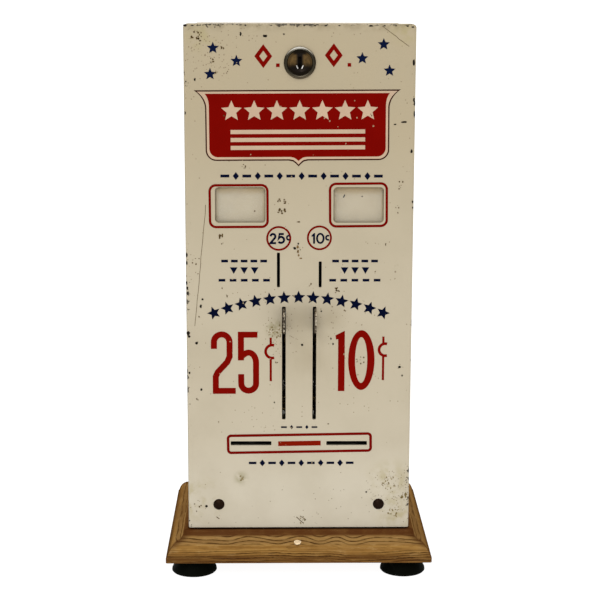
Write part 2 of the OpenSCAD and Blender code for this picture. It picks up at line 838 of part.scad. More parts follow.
module door_outer() {
    intersection() {
        along_y(y_face, y_flange)
            arch_rect(body_w, z_door, z_top, corner_r);
        // rounding along the top front edge
        along_x(-body_w / 2, body_w / 2)
            union() {
                translate([y_face, z_door])
                    square([flange_d, z_top - z_door - edge_r]);
                translate([y_face + edge_r, z_door])
                    square([flange_d - edge_r, z_top - z_door]);
                translate([y_face + edge_r, z_top - edge_r])
                    circle(edge_r);
            }
        // rounding along both upright front edges
        translate([0, 0, z_door])
            linear_extrude(z_top - z_door)
                mirror([0, 1])
                    arch_rect(body_w, -y_flange, -y_face, edge_r);
    }
}

module door_panel() {
    inner_r = corner_r - sheet_t + 0.2;
    color(cream)
    difference() {
        door_outer();
        along_y(y_skin, y_flange + cut)
            arch_rect(body_w - 2 * sheet_t, z_door - cut, z_top - sheet_t, inner_r);
        // the flanges' lower corners are cut round the hinge axis, to clear the base
        difference() {
            block([-body_w, body_w], [hinge_y, y_flange + cut], [z_door - cut, hinge_z]);
            rod_x(sweep_r, [-body_w - cut, body_w + cut], hinge_y, hinge_z);
        }
        rod_y(barrel_r + 0.2, [y_face - cut, y_skin + cut], 0, lock_z);
        for (s = [-1, 1]) {
            along_y(y_face - cut, y_skin + cut)
                translate([s * window_x, below(window_drop)])
                    round_rect(window_w, window_h, window_r);
            along_y(y_face - cut, y_skin + cut)
                translate([s * slot_x, slot_z])
                    round_rect(slot_w, slot_h, slot_w * 0.3);
            along_y(y_face - cut, y_skin + cut)
                translate([s * delivery_x, delivery_z])
                    round_rect(delivery_w, delivery_h, delivery_h * 0.2);
            coin_slot(s, s < 0 ? large_coin_h : small_coin_h);
            rod_y(rivet_r + fixed, [y_face - cut, y_skin + cut], s * rivet_x, rivet_z);
        }
    }
}

module coin_slot(s, coin_h) {
    along_y(y_face - cut, y_skin + cut)
        translate([s * coin_x, coin_z + coin_h / 2])
            round_rect(coin_w, coin_h, coin_w * 0.3);
}

module door_hinge_leaf() {
    color(zinc)
    difference() {
        union() {
            for (s = [-1, 1]) {
                ends = s > 0 ? door_knuckle : [-door_knuckle[1], -door_knuckle[0]];
                rod_x(knuckle_r, ends, hinge_y, hinge_z);
                block(ends, [y_skin, y_skin + leaf_t], [hinge_z, hinge_z + leaf_rise]);
            }
            block([-door_knuckle[1], door_knuckle[1]], [y_skin, y_skin + leaf_t],
                [hinge_z + knuckle_r + moving_gap, hinge_z + leaf_rise]);
        }
        rod_x(pin_r + run, [-pin_end - cut, pin_end + cut], hinge_y, hinge_z);
        for (s = [-1, 1])
            rod_y(rivet_r + fixed, [y_skin - cut, y_skin + leaf_t + cut], s * rivet_x, rivet_z);
    }
}

// Two rivets with low domed heads on the face and flat tails on the leaf
module hinge_rivets() {
    ball_r = (rivet_head_r * rivet_head_r + rivet_head_h * rivet_head_h) / (2 * rivet_head_h);
    tail_y0 = y_skin + leaf_t;
    color([0.2, 0.13, 0.08])
    for (s = [-1, 1]) {
        rod_y(rivet_r, [y_face - 0.1, tail_y0 + 0.1], s * rivet_x, rivet_z);
        rod_y(rivet_tail_r, [tail_y0, tail_y0 + rivet_tail_h], s * rivet_x, rivet_z);
        intersection() {
            translate([s * rivet_x, y_face - rivet_head_h + ball_r, rivet_z])
                sphere(ball_r);
            rod_y(rivet_head_r + cut, [y_face - rivet_head_h - cut, y_face], s * rivet_x, rivet_z);
        }
    }
}

holder_w = window_w + 2 * holder_rim;
holder_h = window_h + 2 * holder_rim;
y_pane = y_skin + pane_t;
y_card = y_pane + card_depth;

module window_pane(s) {
    color([0.8, 0.86, 0.86, 0.35])
    along_y(y_skin, y_pane)
        translate([s * window_x, below(window_drop)])
            round_rect(holder_w - 2, holder_h - 2, 1.5);
}

module window_card(s) {
    color([0.9, 0.87, 0.76])
    along_y(y_card, y_card + card_t)
        translate([s * window_x, below(window_drop)])
            square([holder_w - 2.6, holder_h - 2.6], center = true);
}

// Shallow pressed tray that holds the pane against the door and the card behind it
module card_holder(s) {
    back = y_card + card_t + holder_t;
    color(zinc)
    translate([s * window_x, 0, below(window_drop)])
    difference() {
        along_y(y_skin, back)
            square([holder_w, holder_h], center = true);
        along_y(y_skin - cut, y_pane)
            round_rect(holder_w - 1.8, holder_h - 1.8, 1.6);
        along_y(y_pane - cut, y_card)
            square([window_w + 1, window_h + 1], center = true);
        along_y(y_card, y_card + card_t)
            square([holder_w - 2.4, holder_h - 2.4], center = true);
        along_y(y_card, back + cut)
            square([window_w - 8, window_h - 8], center = true);
    }
}

// ---------- lock ----------

// Barrel with a bezel; a revolve about the lock's axis, drawn as (radius, depth)
module lock_body() {
    color([0.8, 0.78, 0.72])
    translate([0, 0, lock_z])
    difference() {
        rotate([-90, 0, 0])
            rotate_extrude()
                polygon([[plug_r + run, y_face - bezel_h + plug_recess], [recess_r, y_face - bezel_h + plug_recess],
                    [recess_r + 0.5, y_face - bezel_h + 0.3], [recess_r + 1, y_face - bezel_h],
                    [bezel_r - 0.9, y_face - bezel_h * 0.85], [bezel_r, y_face - bezel_h * 0.35],
                    [bezel_r, y_face], [barrel_r, y_face], [barrel_r, y_barrel], [plug_r + run, y_barrel]]);
        // flats that keep the barrel from turning
        for (s = [-1, 1])
            translate([s * (flat_w / 2 + barrel_r), 0, 0])
                block([-barrel_r, barrel_r], [y_skin + nut_h + 1, y_barrel + cut], [-barrel_r * 2, barrel_r * 2]);
    }
}

module lock_nut() {
    color(steel)
    difference() {
        translate([0, y_skin, lock_z])
            rotate([-90, 30, 0])
                cylinder(r = nut_r, h = nut_h, $fn = 6);
        rod_y(barrel_r + run, [y_skin - cut, y_skin + nut_h + cut], 0, lock_z);
    }
}

module lock_plug() {
    face = y_face - bezel_h + plug_recess;
    dish_r = plug_r - 0.6;
    ball_r = (dish_r * dish_r + plug_dish * plug_dish) / (2 * plug_dish);
    color([0.55, 0.42, 0.22])
    difference() {
        union() {
            rod_y(plug_r, [face, y_barrel], 0, lock_z);
            block([-tail_w / 2, tail_w / 2], [y_barrel - cut, y_barrel + cam_t],
                [lock_z - tail_w / 2, lock_z + tail_w / 2]);
        }
        translate([0, face + plug_dish - ball_r, lock_z])
            sphere(ball_r);
        block([-key_w / 2, key_w / 2], [face - cut, face + barrel_d * 0.7],
            [lock_z - key_h / 2, lock_z + key_h / 2]);
        rod_y(cam_screw_r + fixed, [y_barrel - 4, y_barrel + cam_t + cut], 0, lock_z);
    }
}

// The cam hangs down at rest, clear of the keeper
module lock_cam() {
    tip_r = cam_w / 2 - 1;
    low = y_barrel + 0.1;
    high = y_barrel + cam_t;
    color(zinc)
    difference() {
        union() {
            rod_y(cam_w / 2 + 1, [low, high], 0, lock_z);
            block([-cam_w / 2 + 1, cam_w / 2 - 1], [low, high], [lock_z - cam_reach + tip_r, lock_z]);
            rod_y(tip_r, [low, high], 0, lock_z - cam_reach + tip_r);
        }
        block([-tail_w / 2 - fixed, tail_w / 2 + fixed], [low - cut, high + cut],
            [lock_z - tail_w / 2 - fixed, lock_z + tail_w / 2 + fixed]);
    }
}

module cam_screw() {
    base = y_barrel + cam_t;
    color(steel)
    union() {
        rod_y(cam_screw_r, [base - 5, base + 0.5], 0, lock_z);
        rod_y(tail_w * 0.8, [base, base + 1.6], 0, lock_z);
    }
}

// ---------- levers and gears ----------

// Lever outline about its pivot, drawn as (y, z): tab, neck, hub, tail and toothed sector
module lever_outline() {
    step = 180 * gear_m / sector_r;
    spare = 2;
    count = ceil(lever_travel / step) + 2 * spare;
    first = -90 - step * (count - 1 - spare);
    teeth = tooth_run(sector_r, first, step, count);
    difference() {
        union() {
            circle(hub_r);
            polygon([[-2, hub_r * 0.9], [tab_back, tab_top], [tab_back, tab_bottom], [2, -hub_r * 0.9]]);
            translate([tab_front + tab_r, tab_bottom])
                square([tab_back - tab_front - tab_r, tab_h]);
            translate([tab_front, tab_bottom + tab_r])
                square([tab_r + 1, tab_h - 2 * tab_r]);
            for (z = [tab_bottom + tab_r, tab_top - tab_r])
                translate([tab_front + tab_r, z])
                    circle(tab_r);
            polygon(concat([[0, 0]], teeth));
            translate([0, -tail_r])
                square([tail_y, 2 * tail_r]);
            translate([tail_y, 0])
                circle(tail_r);
        }
        circle(bush_r + fixed);
        translate([(tab_back - hub_r) * 0.55, (tab_top + tab_bottom) * 0.27])
            circle(4.5);
        rotate(first / 2 - 45)
            translate([sector_r * 0.62, 0])
                circle(sector_r * 0.15);
    }
}

module lever(s) {
    low = s * lever_x - lever_t / 2;
    pin_x = spring_x - spring_r - wire_r;
    color([0.55, 0.52, 0.47])
    union() {
        along_x(low, low + lever_t)
            translate([pivot_y, pivot_z])
                lever_outline();
        // pin for the spring's upper end
        rod_x(tail_pin_r, s > 0 ? [pin_x, lever_x] : [-lever_x, -pin_x], pivot_y + tail_y, pivot_z);
    }
}

module lever_bush(s) {
    ends = [s * lever_x - bush_half, s * lever_x + bush_half];
    color([0.72, 0.56, 0.3])
    collar(shaft_r, bush_r, ends, pivot_z);
}

module idler(s) {
    ends = [s * lever_x - idler_half, s * lever_x + idler_half];
    color([0.72, 0.56, 0.3])
    difference() {
        along_x(ends[0], ends[1])
            translate([pivot_y, idler_z])
                polygon(tooth_run(idler_r, 0, 360 / idler_teeth, idler_teeth));
        rod_x(idler_shaft_r + run, [ends[0] - cut, ends[1] + cut], pivot_y, idler_z);
    }
}

// Outline of the rack bar with its teeth up, drawn as (y, z)
module rack_outline(front, back) {
    pitch = PI * gear_m;
    half = (pitch - backlash) / 4;
    slope = tan(pressure);
    low = rack_z - dedendum;
    high = rack_z + addendum;
    count = floor((back - pivot_y - pitch / 2) / pitch) + 1;
    polygon(concat(
        [[front, bar_bottom], [front, low]],
        [for (k = [-2 : count - 1]) let (c = pivot_y + k * pitch)
            each [[c - half - dedendum * slope, low], [c - half + addendum * slope, high],
                [c + half - addendum * slope, high], [c + half + dedendum * slope, low]]],
        [[back, low], [back, bar_bottom]]));
}

module ejector_rack(s) {
    low = s * lever_x - gear_t / 2;
    color([0.66, 0.64, 0.58])
    along_x(low, low + gear_t)
        rack_outline(arm_y[0] - rack_lead, case_back_in - rack_end_gap);
}

// The arm that crosses under the frame plate from the rack's side, and the pusher behind the stack
module ejector(s) {
    rack_side = lever_x + gear_t / 2;
    inner = delivery_x - stack_w / 2 + moving_gap;
    outer = delivery_x + stack_w / 2 - moving_gap;
    plate = [bar_bottom, bar_bottom + pusher_t];
    color([0.66, 0.64, 0.58])
    union() {
        block(s > 0 ? [rack_side, inner + cut] : [-inner - cut, -rack_side], arm_y, plate);
        block(s > 0 ? [inner, outer] : [-outer, -inner], [pusher_y, pusher_y + pusher_d], plate);
    }
}

// ---------- return springs ----------

// Points of a tube that follows a helix: rings of a few sides, each in the plane of its radius
function coil_points(r, wire, z0, z1, turns, per_turn, sides) =
    let (n = turns * per_turn, rise = (z1 - z0) / (2 * PI * r * turns))
    [for (i = [0 : n]) let (a = 360 * i / per_turn, out = [cos(a), sin(a), 0])
        let (along = [-sin(a), cos(a), rise] / norm([1, rise]), up = cross(out, along))
        for (j = [0 : sides - 1]) let (b = 360 * j / sides)
            r * out + [0, 0, z0 + (z1 - z0) * i / n] + wire * (cos(b) * out + sin(b) * up)];

function coil_faces(n, sides) = concat(
    [for (i = [0 : n - 1], j = [0 : sides - 1])
        let (a = i * sides + j, b = i * sides + (j + 1) % sides)
        each [[a, b, a + sides], [b, b + sides, a + sides]]],
    [for (j = [1 : sides - 2]) [0, j + 1, j]],
    [for (j = [1 : sides - 2]) [n * sides, n * sides + j, n * sides + j + 1]]);

module lever_spring(s) {
    per_turn = 10;
    sides = 6;
    color(steel)
    translate([s * spring_x, spring_y, 0])
        polyhedron(
            coil_points(spring_r, wire_r, spring_z[0] + wire_r, spring_z[1] - wire_r, spring_turns, per_turn, sides),
            coil_faces(spring_turns * per_turn, sides));
}

// ---------- drawing ----------

plinth();
foot(-1, -1);  // foot_front_left
foot(1, -1);  // foot_front_right
foot(-1, 1);  // foot_rear_left
foot(1, 1);  // foot_rear_right
foot_screws();
case_shell();
case_screws();
case_hinge_leaf();
hinge_pin();
latch_keeper();
frame_plate(-1);  // frame_plate_left
frame_plate(1);  // frame_plate_right
frame_spacers();
frame_bolts();
lever_shaft();
idler_shaft();
shaft_collars();
ejector_tray();
magazine(-1);  // magazine_left
magazine(1);  // magazine_right
coin_chute(-1, large_coin_h);  // coin_chute_large
coin_chute(1, small_coin_h);  // coin_chute_small
coin_box();
door_panel();
door_hinge_leaf();
hinge_rivets();
window_pane(-1);  // window_pane_left
window_pane(1);  // window_pane_right
window_card(-1);  // window_card_left
window_card(1);  // window_card_right
card_holder(-1);  // card_holder_left
card_holder(1);  // card_holder_right
lock_body();
lock_nut();
lock_plug();
lock_cam();
cam_screw();
lever(-1);  // lever_left
lever(1);  // lever_right
lever_bush(-1);  // lever_bush_left
lever_bush(1);  // lever_bush_right
idler(-1);  // idler_left
idler(1);  // idler_right
ejector(-1);  // ejector_left
ejector(1);  // ejector_right
ejector_rack(-1);  // ejector_rack_left
ejector_rack(1);  // ejector_rack_right
lever_spring(-1);  // lever_spring_left
lever_spring(1);  // lever_spring_right
follower(-1);  // follower_left
follower(1);  // follower_right
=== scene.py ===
"""Looks of a counter-top vending machine for stamps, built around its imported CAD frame. Metres.

The door's printing is thin films of ink that lie on its face. Places on the face are written in
millimetres as (x, drop): x from the middle, drop downwards from the door's top edge.
"""

import json
import math
import random

import bpy
from mathutils import Matrix, Vector


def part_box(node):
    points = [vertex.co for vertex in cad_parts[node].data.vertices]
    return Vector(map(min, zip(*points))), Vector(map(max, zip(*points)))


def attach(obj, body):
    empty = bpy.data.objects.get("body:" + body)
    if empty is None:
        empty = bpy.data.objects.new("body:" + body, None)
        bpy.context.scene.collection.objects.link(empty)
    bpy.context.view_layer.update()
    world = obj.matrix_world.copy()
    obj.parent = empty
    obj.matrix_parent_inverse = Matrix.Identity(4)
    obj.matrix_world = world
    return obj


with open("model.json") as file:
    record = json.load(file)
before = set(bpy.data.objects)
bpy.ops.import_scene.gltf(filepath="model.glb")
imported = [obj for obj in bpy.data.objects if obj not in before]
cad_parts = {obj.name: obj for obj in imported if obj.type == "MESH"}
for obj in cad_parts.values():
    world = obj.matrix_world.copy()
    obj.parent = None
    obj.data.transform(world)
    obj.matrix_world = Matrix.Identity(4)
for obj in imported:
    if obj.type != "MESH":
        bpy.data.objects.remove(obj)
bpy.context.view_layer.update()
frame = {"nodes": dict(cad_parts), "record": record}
nodes = frame["nodes"]
scene = bpy.context.scene
random.seed(25)

MM = 0.001
TAU = 2 * math.pi

# The door's face
FACE_LOW, FACE_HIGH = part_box("door_panel")
FACE_Y = FACE_LOW.y
FACE_TOP = FACE_HIGH.z
FACE_HALF = FACE_HIGH.x
INK_UP = 0.08 * MM          # how far ink stands off the face
INK_IN = 0.02 * MM          # how far it reaches into the paint
BLOT_UP = 0.14 * MM
LEVEL = 0.003 * MM          # step between shapes of one film, so that two of them may cross
LEVELS = 5

# Levels and places that several looks share
PLINTH_LOW, PLINTH_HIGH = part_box("plinth")
LOCK_LOW, LOCK_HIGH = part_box("lock_body")
LOCK_Z = (LOCK_LOW.z + LOCK_HIGH.z) / 2
RECESS_R = 8.6 * MM
LOCK_RIM = LOCK_HIGH.x

CARD_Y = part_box("window_card_left")[0].y
WINDOW_X = 42.2 * MM        # middle of each window, across
WINDOW_DROP = 127.15 * MM
WINDOW_SIZE = (36.0 * MM, 25.7 * MM)
LEVER_X = 11.4 * MM

# Colours, linear
CREAM_LOW = (0.572, 0.518, 0.410)
CREAM_TOP = (0.436, 0.365, 0.243)
BANNER_RED = (0.182, 0.0024, 0.0010)
OUTLINE_RED = (0.034, 0.0060, 0.0045)
FRAME_RED = (0.165, 0.0035, 0.0022)
NUMERAL_RED = (0.190, 0.0030, 0.0012)
BAR_RED = (0.208, 0.0085, 0.0018)
NAVY = (0.0022, 0.0042, 0.0190)
STAR_BLUE = (0.0040, 0.0085, 0.0340)
BLUSH = (0.560, 0.410, 0.285)
BARE_STEEL = (0.045, 0.037, 0.027)
RUST = (0.105, 0.058, 0.022)
GRIME = (0.25, 0.20, 0.115)
OAK = (0.362, 0.200, 0.054)
OAK_DARK = (0.070, 0.024, 0.006)


# ---------- materials ----------

class Look:
    """A principled material, with short calls that add nodes to it."""

    def __init__(self, name, colour=(0.5, 0.5, 0.5), rough=0.5, metal=0.0, shine=0.5):
        self.material = bpy.data.materials.new(name)
        self.material.use_nodes = True
        self.tree = self.material.node_tree
        self.tree.nodes.clear()
        self.shader = self.node("ShaderNodeBsdfPrincipled")
        output = self.node("ShaderNodeOutputMaterial")
        self.tree.links.new(self.shader.outputs[0], output.inputs[0])
        self.set("Base Color", colour)
        self.set("Roughness", rough)
        self.set("Metallic", metal)
        self.set("Specular IOR Level", shine)
        self.place = self.node("ShaderNodeTexCoord").outputs["Object"]
        split = self.node("ShaderNodeSeparateXYZ")
        self.put(self.place, split.inputs[0])
        self.x, self.y, self.z = split.outputs

    def node(self, kind, **settings):
        node = self.tree.nodes.new(kind)
        for key, value in settings.items():
            setattr(node, key, value)
        return node

    def put(self, value, socket):
        if isinstance(value, bpy.types.NodeSocket):
            self.tree.links.new(value, socket)
        elif isinstance(value, tuple) and socket.type == "RGBA":
            socket.default_value = (*value[:3], 1.0)
        else:
            socket.default_value = value

    def set(self, name, value):
        self.put(value, self.shader.inputs[name])

    def math(self, operation, a, b=0.0):
        node = self.node("ShaderNodeMath", operation=operation)
        self.put(a, node.inputs[0])
        self.put(b, node.inputs[1])
        return node.outputs[0]

    def add(self, a, b):
        return self.math("ADD", a, b)

    def minus(self, a, b):
        return self.math("SUBTRACT", a, b)

    def size(self, a):
        return self.math("ABSOLUTE", a)

    def least(self, *values):
        result = values[0]
        for value in values[1:]:
            result = self.math("MINIMUM", result, value)
        return result

    def most(self, *values):
        result = values[0]
        for value in values[1:]:
            result = self.math("MAXIMUM", result, value)
        return result

    def times(self, *values):
        result = values[0]
        for value in values[1:]:
            result = self.math("MULTIPLY", result, value)
        return result

    def ramp(self, value, low, high, start=0.0, end=1.0):
        """start where value is at low, end where it is at high, smooth between."""
        node = self.node("ShaderNodeMapRange", interpolation_type="SMOOTHSTEP")
        for socket, number in zip(node.inputs, (value, low, high, start, end)):
            self.put(number, socket)
        return node.outputs[0]

    def blend(self, share, a, b):
        node = self.node("ShaderNodeMix", data_type="RGBA")
        self.put(share, node.inputs["Factor"])
        self.put(a, node.inputs[6])
        self.put(b, node.inputs[7])
        return node.outputs[2]

    def stretched(self, stretch, shift=(0.0, 0.0, 0.0), place=None):
        node = self.node("ShaderNodeMapping")
        self.put(place or self.place, node.inputs["Vector"])
        node.inputs["Scale"].default_value = stretch
        node.inputs["Location"].default_value = shift
        return node.outputs[0]

    def noise(self, scale, detail=3.0, rough=0.55, place=None):
        node = self.node("ShaderNodeTexNoise")
        self.put(place or self.place, node.inputs["Vector"])
        self.put(float(scale), node.inputs["Scale"])
        self.put(detail, node.inputs["Detail"])
        self.put(rough, node.inputs["Roughness"])
        return node.outputs[0]

    def specks(self, scale, size, share):
        """1 in dots of up to size, in cells, in that share of the cells."""
        node = self.node("ShaderNodeTexVoronoi")
        self.put(self.place, node.inputs["Vector"])
        self.put(float(scale), node.inputs["Scale"])
        split = self.node("ShaderNodeSeparateColor")
        self.put(node.outputs["Color"], split.inputs[0])
        there = self.math("LESS_THAN", split.outputs[0], share)
        reach = self.times(split.outputs[1], size)
        return self.times(there, self.math("LESS_THAN", node.outputs["Distance"], reach))

    def spots(self, *places):
        """1 at places (x, drop, radius) of the face, in mm, falling to 0 at radius round each."""
        shares = []
        for x, drop, radius in places:
            dx = self.minus(self.x, x * MM)
            dz = self.minus(self.z, FACE_TOP - drop * MM)
            away = self.math("SQRT", self.add(self.times(dx, dx), self.times(dz, dz)))
            shares.append(self.ramp(away, radius * MM, 0.0))
        return self.most(*shares)

    def corners(self, radius):
        """1 along a piece's own edges."""
        bevel = self.node("ShaderNodeBevel", samples=6)
        self.put(radius, bevel.inputs["Radius"])
        true = self.node("ShaderNodeNewGeometry").outputs["Normal"]
        dot = self.node("ShaderNodeVectorMath", operation="DOT_PRODUCT")
        self.put(bevel.outputs[0], dot.inputs[0])
        self.put(true, dot.inputs[1])
        return self.ramp(dot.outputs["Value"], 0.99, 0.82)

    def facing(self, axis):
        """How far the true surface looks along an axis: 0 for x, 1 for y, 2 for z."""
        split = self.node("ShaderNodeSeparateXYZ")
        self.put(self.node("ShaderNodeNewGeometry").outputs["True Normal"], split.inputs[0])
        return split.outputs[axis]

    def bump(self, height, distance, strength=1.0):
        node = self.node("ShaderNodeBump")
        self.put(height, node.inputs["Height"])
        self.put(distance, node.inputs["Distance"])
        self.put(strength, node.inputs["Strength"])
        self.set("Normal", node.outputs[0])


def stains_and_shade(look, colour, side):
    """What hands and damp have left on the door's face, with painted shade mixed in: the levers' painted
    shadow in the grime round them and a painted shade line along the left edge. side is the distance from its
    nearer side.
    """
    # brown-grey round the lever tabs: the tabs' painted shadow together with finger grime
    lever_shadow_and_grime = look.times(look.spots((2.0, 214.0, 24.0), (24.0, 210.0, 16.0), (6.0, 232.0, 32.0)),
                         look.ramp(look.noise(45, 3.0), 0.25, 0.7, 0.35, 1.0))
    colour = look.blend(look.times(lever_shadow_and_grime, 0.55), colour, (0.36, 0.30, 0.20))
    stain = look.times(look.spots((-42.5, 330.0, 7.5)), look.ramp(look.noise(160), 0.35, 0.55))
    moss = look.times(look.spots((-17.2, 217.5, 10.0)), look.ramp(look.noise(230, 4.0), 0.36, 0.58))
    ears = look.times(look.spots((73.5, 4.0, 15.0), (-70.0, 8.0, 16.0)),
                      look.ramp(look.noise(130, 4.0), 0.36, 0.62))
    feet = look.times(look.spots((67.5, 334.0, 24.0), (73.0, 356.0, 22.0), (-74.5, 346.0, 24.0)),
                      look.ramp(look.noise(120, 5.0), 0.42, 0.62))
    colour = look.blend(look.times(look.most(feet, ears), 0.70), colour, (0.40, 0.34, 0.180))
    colour = look.blend(look.times(look.most(stain, moss), 0.62), colour, (0.235, 0.205, 0.085))
    # a thin grey line along the door's left edge: painted shade
    left_edge_shade = look.times(look.ramp(side, 0.75 * MM, 0.20 * MM), look.math("LESS_THAN", look.x, 0.0))
    return look.blend(look.times(left_edge_shade, 0.45), colour, (0.19, 0.18, 0.155))


def cream_paint(name, face):
    """Old cream enamel: yellower upwards, specked with rust, chipped to dark steel along its edges."""
    look = Look(name, rough=0.5, shine=0.12)
    tone = look.add(look.ramp(look.z, FACE_LOW.z, FACE_LOW.z + 0.29, 0.0, 0.78),
                    look.ramp(look.z, FACE_TOP - 0.14, FACE_TOP - 0.05, 0.0, 0.22))
    if face:
        # a duller, yellower band across the lower middle of the face, round the levers
        lower_band = look.times(look.ramp(look.z, FACE_LOW.z + 0.025, FACE_LOW.z + 0.070),
                             look.ramp(look.z, FACE_LOW.z + 0.190, FACE_LOW.z + 0.110), 0.24)
        tone = look.add(tone, lower_band)
    colour = look.blend(tone, CREAM_LOW, CREAM_TOP)
    cloud = look.ramp(look.noise(22, 4.0), 0.40, 0.72, 0.0, 0.30)
    colour = look.blend(cloud, colour, (0.41, 0.355, 0.252))
    # closeness to the sides and the top
    side = look.minus(FACE_HALF, look.size(look.x))
    up = look.minus(FACE_TOP, look.z)
    if not face:
        side = look.add(side, look.ramp(look.size(look.facing(0)), 0.6, 0.9))
        up = look.add(up, look.ramp(look.size(look.facing(2)), 0.6, 0.9))
    edge = look.least(side, up)
    chip_reach, speck_reach, crown_reach = 0.0050, 0.026, 0.007
    near = look.ramp(edge, chip_reach, 0.0)
    wide = look.ramp(edge, speck_reach, 0.0)
    crown = look.ramp(up, crown_reach, 0.0)
    worked = look.ramp(look.noise(17, 2.0), 0.50, 0.72)
    busy = look.most(look.times(wide, worked, 0.12), look.times(worked, 0.05), 0.006)
    if face:
        # at the left lever slot, the upper left corner and the lower right one
        speckled = look.spots((-14.0, 222.0, 22.0), (-64.0, 18.0, 30.0), (70.0, 340.0, 30.0))
        busy = look.most(busy, look.times(speckled, 0.26))
        # hand and damp marks, the levers' painted shadow and a painted shade line along the left edge
        colour = stains_and_shade(look, colour, side)
    film = look.times(look.ramp(look.noise(150, 6.0, 0.7), 0.60, 0.80), look.most(wide, 0.25), 0.40)
    film = look.most(film, look.times(crown, look.ramp(look.noise(95, 5.0, 0.7), 0.40, 0.62), 0.55))
    colour = look.blend(film, colour, GRIME)
    rust = look.specks(420, 0.44, busy)
    dust = look.specks(900, 0.42, look.times(busy, 1.8))
    colour = look.blend(look.times(look.most(rust, dust), 0.54), colour, RUST)
    # a few chips along the edges, more of them on the top
    ragged = look.noise(300, 5.0, 0.7)
    patchy = look.ramp(look.noise(38, 3.0), 0.52, 0.68, 0.0, 0.20)
    chipped = look.math("GREATER_THAN", look.add(ragged, look.times(near, patchy)), 0.70)
    chips = look.times(chipped, look.ramp(edge, chip_reach, 0.6 * chip_reach))
    rim = look.times(look.corners(0.6 * MM), look.ramp(look.noise(140, 5.0, 0.7), 0.60, 0.68))
    top_rim = look.times(look.corners(0.7 * MM), crown, look.ramp(look.noise(210, 5.0, 0.7), 0.42, 0.54))
    crest = look.times(look.ramp(up, 1.5 * MM, 0.9 * MM), look.ramp(look.noise(330, 4.0, 0.7), 0.545, 0.605))
    worn = look.most(chips, rim, top_rim, crest)
    colour = look.blend(look.times(worn, 0.9), colour, BARE_STEEL)
    look.set("Base Color", colour)
    look.set("Roughness", look.most(look.ramp(look.noise(60), 0.3, 0.7, 0.42, 0.56), look.times(worn, 0.62)))
    peel = look.times(look.noise(700, 2.0), 0.25)
    dent = look.times(look.noise(9, 1.0), 6.0)
    relief = look.minus(look.add(peel, dent), look.most(worn, look.times(rust, 0.6)))
    look.bump(relief, 0.05 * MM, 0.7)
    return look.material


def ink(name, colour):
    """Screen-printed ink, thin in places, with pinholes that show the cream below."""
    look = Look(name, rough=0.5, shine=0.0)
    uneven = look.ramp(look.noise(35, 3.0), 0.3, 0.7, 0.0, 0.30)
    deep = tuple(0.62 * part for part in colour)
    shade = look.blend(uneven, colour, deep)
    holes = look.math("GREATER_THAN", look.noise(620, 4.0, 0.75), 0.76)
    holes = look.most(look.times(holes, 0.6), look.specks(520, 0.34, 0.03))
    shade = look.blend(look.times(holes, 0.7), shade, (0.40, 0.31, 0.19))
    look.set("Base Color", shade)
    look.set("Roughness", look.ramp(look.noise(90), 0.3, 0.7, 0.42, 0.60))
    look.bump(look.noise(600, 2.0), 0.03 * MM, 0.4)
    return look.material


